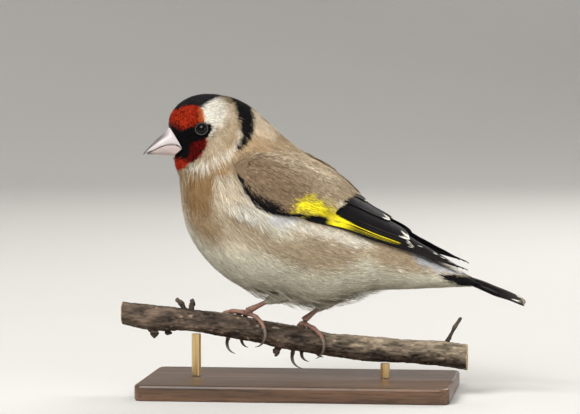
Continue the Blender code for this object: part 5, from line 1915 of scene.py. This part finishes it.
def make_floor():
    """A pale floor that curves up into a backdrop on every side."""
    steps, sides = np.linspace(0, 1, 24), 64
    reach = np.concatenate([[0.002, 0.4, 0.9], 1.2 + 0.8 * np.sin(steps * math.pi / 2), [2.0]])
    rise = np.concatenate([[0.0, 0.0, 0.0], 0.8 * (1 - np.cos(steps * math.pi / 2)), [2.6]])
    reach, rise, turns = reach[:, None], rise[:, None], full_turn(sides)
    rings = np.stack([reach * np.cos(turns), reach * np.sin(turns), rise + 0 * turns], -1)
    points, triangles = rings.reshape(-1, 3), grid_triangles(len(reach), sides, True)
    mesh = bpy.data.meshes.new("studio_floor")
    mesh.from_pydata(points.tolist(), [], triangles.tolist())
    mesh.polygons.foreach_set("use_smooth", np.ones(len(mesh.polygons), bool))
    shader = Shader("studio floor", Roughness=0.9, Specular_IOR_Level=0.1)
    pale = tint("floor")
    shader.colour(shader.ramp(shader.noise(3.0, 2.0), (0.3, pale * 0.97), (0.7, pale)))
    mesh.materials.append(shader.material)
    floor = bpy.data.objects.new("studio_floor", mesh)
    bpy.context.scene.collection.objects.link(floor)


def make_lights():
    """Large soft lights round the bird, a small one for the eye's highlight, and a pale sky."""
    middle = Vector((0.0, 0.0, 0.06))
    for name, place, size, share, colour in LIGHTS:
        data = bpy.data.lights.new(name, "AREA")
        data.shape, data.size, data.color = "DISK", size, colour
        data.energy = sizes().key_power * share
        light = bpy.data.objects.new(name, data)
        light.location = place
        aim(light, middle - Vector(place))
        bpy.context.scene.collection.objects.link(light)
    world = bpy.data.worlds.new("Studio")
    bpy.context.scene.world = world
    world.use_nodes = True
    air = world.node_tree.nodes["Background"]
    air.inputs["Color"].default_value = (0.90, 0.90, 0.88, 1.0)
    air.inputs["Strength"].default_value = 0.40


# Operators, one for each piece or group


class FINCH_OT_skin(bpy.types.Operator):
    """Make the skin under the body feathers"""

    bl_idname = "finch.skin"
    bl_label = "Skin"

    def execute(self, context):
        make_skin()
        return {"FINISHED"}


class FINCH_OT_plumage(bpy.types.Operator):
    """Make the body feathers of head, neck and trunk"""

    bl_idname = "finch.plumage"
    bl_label = "Body plumage"

    def execute(self, context):
        material = plumage_material("plumage", 0.85, 0.04)
        for number, coat in enumerate(COATS):
            make_coat(number, *coat, material)
        for side in (BIRD_LEFT, BIRD_RIGHT):
            make_hairs(side, material)
        make_bristles(material)
        for name, leg in LEGS.items():
            make_sleeve(name, leg, material)
        return {"FINISHED"}


class FINCH_OT_wings(bpy.types.Operator):
    """Make both folded wings: arms, long feathers and the small ones over them"""

    bl_idname = "finch.wings"
    bl_label = "Wings"

    def execute(self, context):
        small = plumage_material("wing coverts", 0.82, 0.04)
        long = vane_material("flight feathers", 0.50)
        for side in (BIRD_LEFT, BIRD_RIGHT):
            make_arm(side, small)
            make_long_feathers(side, long)
            make_drape(side, small)
        return {"FINISHED"}


class FINCH_OT_tail(bpy.types.Operator):
    """Make the tail feathers"""

    bl_idname = "finch.tail"
    bl_label = "Tail"

    def execute(self, context):
        make_tail(vane_material("tail feathers", 0.62))
        return {"FINISHED"}


class FINCH_OT_eyes(bpy.types.Operator):
    """Make the eyes and the beaded rims of their lids"""

    bl_idname = "finch.eyes"
    bl_label = "Eyes"

    def execute(self, context):
        lids = plumage_material("lid skin", 0.5, 0.0)
        for side in (BIRD_LEFT, BIRD_RIGHT):
            make_eye(side)
            make_lids(side, lids)
        return {"FINISHED"}


class FINCH_OT_bill(bpy.types.Operator):
    """Make the two halves of the bill"""

    bl_idname = "finch.bill"
    bl_label = "Bill"

    def execute(self, context):
        make_bill()
        return {"FINISHED"}


class FINCH_OT_feet(bpy.types.Operator):
    """Make the legs, toes and claws"""

    bl_idname = "finch.feet"
    bl_label = "Feet"

    def execute(self, context):
        make_feet()
        return {"FINISHED"}


class FINCH_OT_branch(bpy.types.Operator):
    """Make the cut length of branch"""

    bl_idname = "finch.branch"
    bl_label = "Branch"

    def execute(self, context):
        make_branch()
        return {"FINISHED"}


class FINCH_OT_stand(bpy.types.Operator):
    """Dress the display stand in wood and brass"""

    bl_idname = "finch.stand"
    bl_label = "Stand"

    def execute(self, context):
        dress_stand()
        return {"FINISHED"}


class FINCH_OT_studio(bpy.types.Operator):
    """Set up the floor, the lights and the camera"""

    bl_idname = "finch.studio"
    bl_label = "Studio"

    def execute(self, context):
        make_floor()
        make_lights()
        make_camera()
        return {"FINISHED"}


OPERATORS = (
    FINCH_OT_skin,
    FINCH_OT_plumage,
    FINCH_OT_wings,
    FINCH_OT_tail,
    FINCH_OT_eyes,
    FINCH_OT_bill,
    FINCH_OT_feet,
    FINCH_OT_branch,
    FINCH_OT_stand,
    FINCH_OT_studio,
)


class FINCH_PT_panel(bpy.types.Panel):
    """Lists the goldfinch's operators, sizes and colours"""

    bl_label = "Goldfinch"
    bl_idname = "FINCH_PT_panel"
    bl_space_type = "VIEW_3D"
    bl_region_type = "UI"
    bl_category = "Goldfinch"

    def draw(self, context):
        for operator in OPERATORS:
            self.layout.operator(operator.bl_idname)
        for group in (context.scene.finch_sizes, context.scene.finch_colours):
            for name in group.__annotations__:
                self.layout.prop(group, name)


CLASSES = (FinchSizes, FinchColours, *OPERATORS, FINCH_PT_panel)


def register():
    for kind in CLASSES:
        bpy.utils.register_class(kind)
    bpy.types.Scene.finch_sizes = bpy.props.PointerProperty(type=FinchSizes)
    bpy.types.Scene.finch_colours = bpy.props.PointerProperty(type=FinchColours)


def unregister():
    del bpy.types.Scene.finch_colours
    del bpy.types.Scene.finch_sizes
    for kind in reversed(CLASSES):
        bpy.utils.unregister_class(kind)


def main():
    register()
    for operator in OPERATORS:
        group, name = operator.bl_idname.split(".")
        getattr(getattr(bpy.ops, group), name)()


if __name__ == "__main__":
    main()
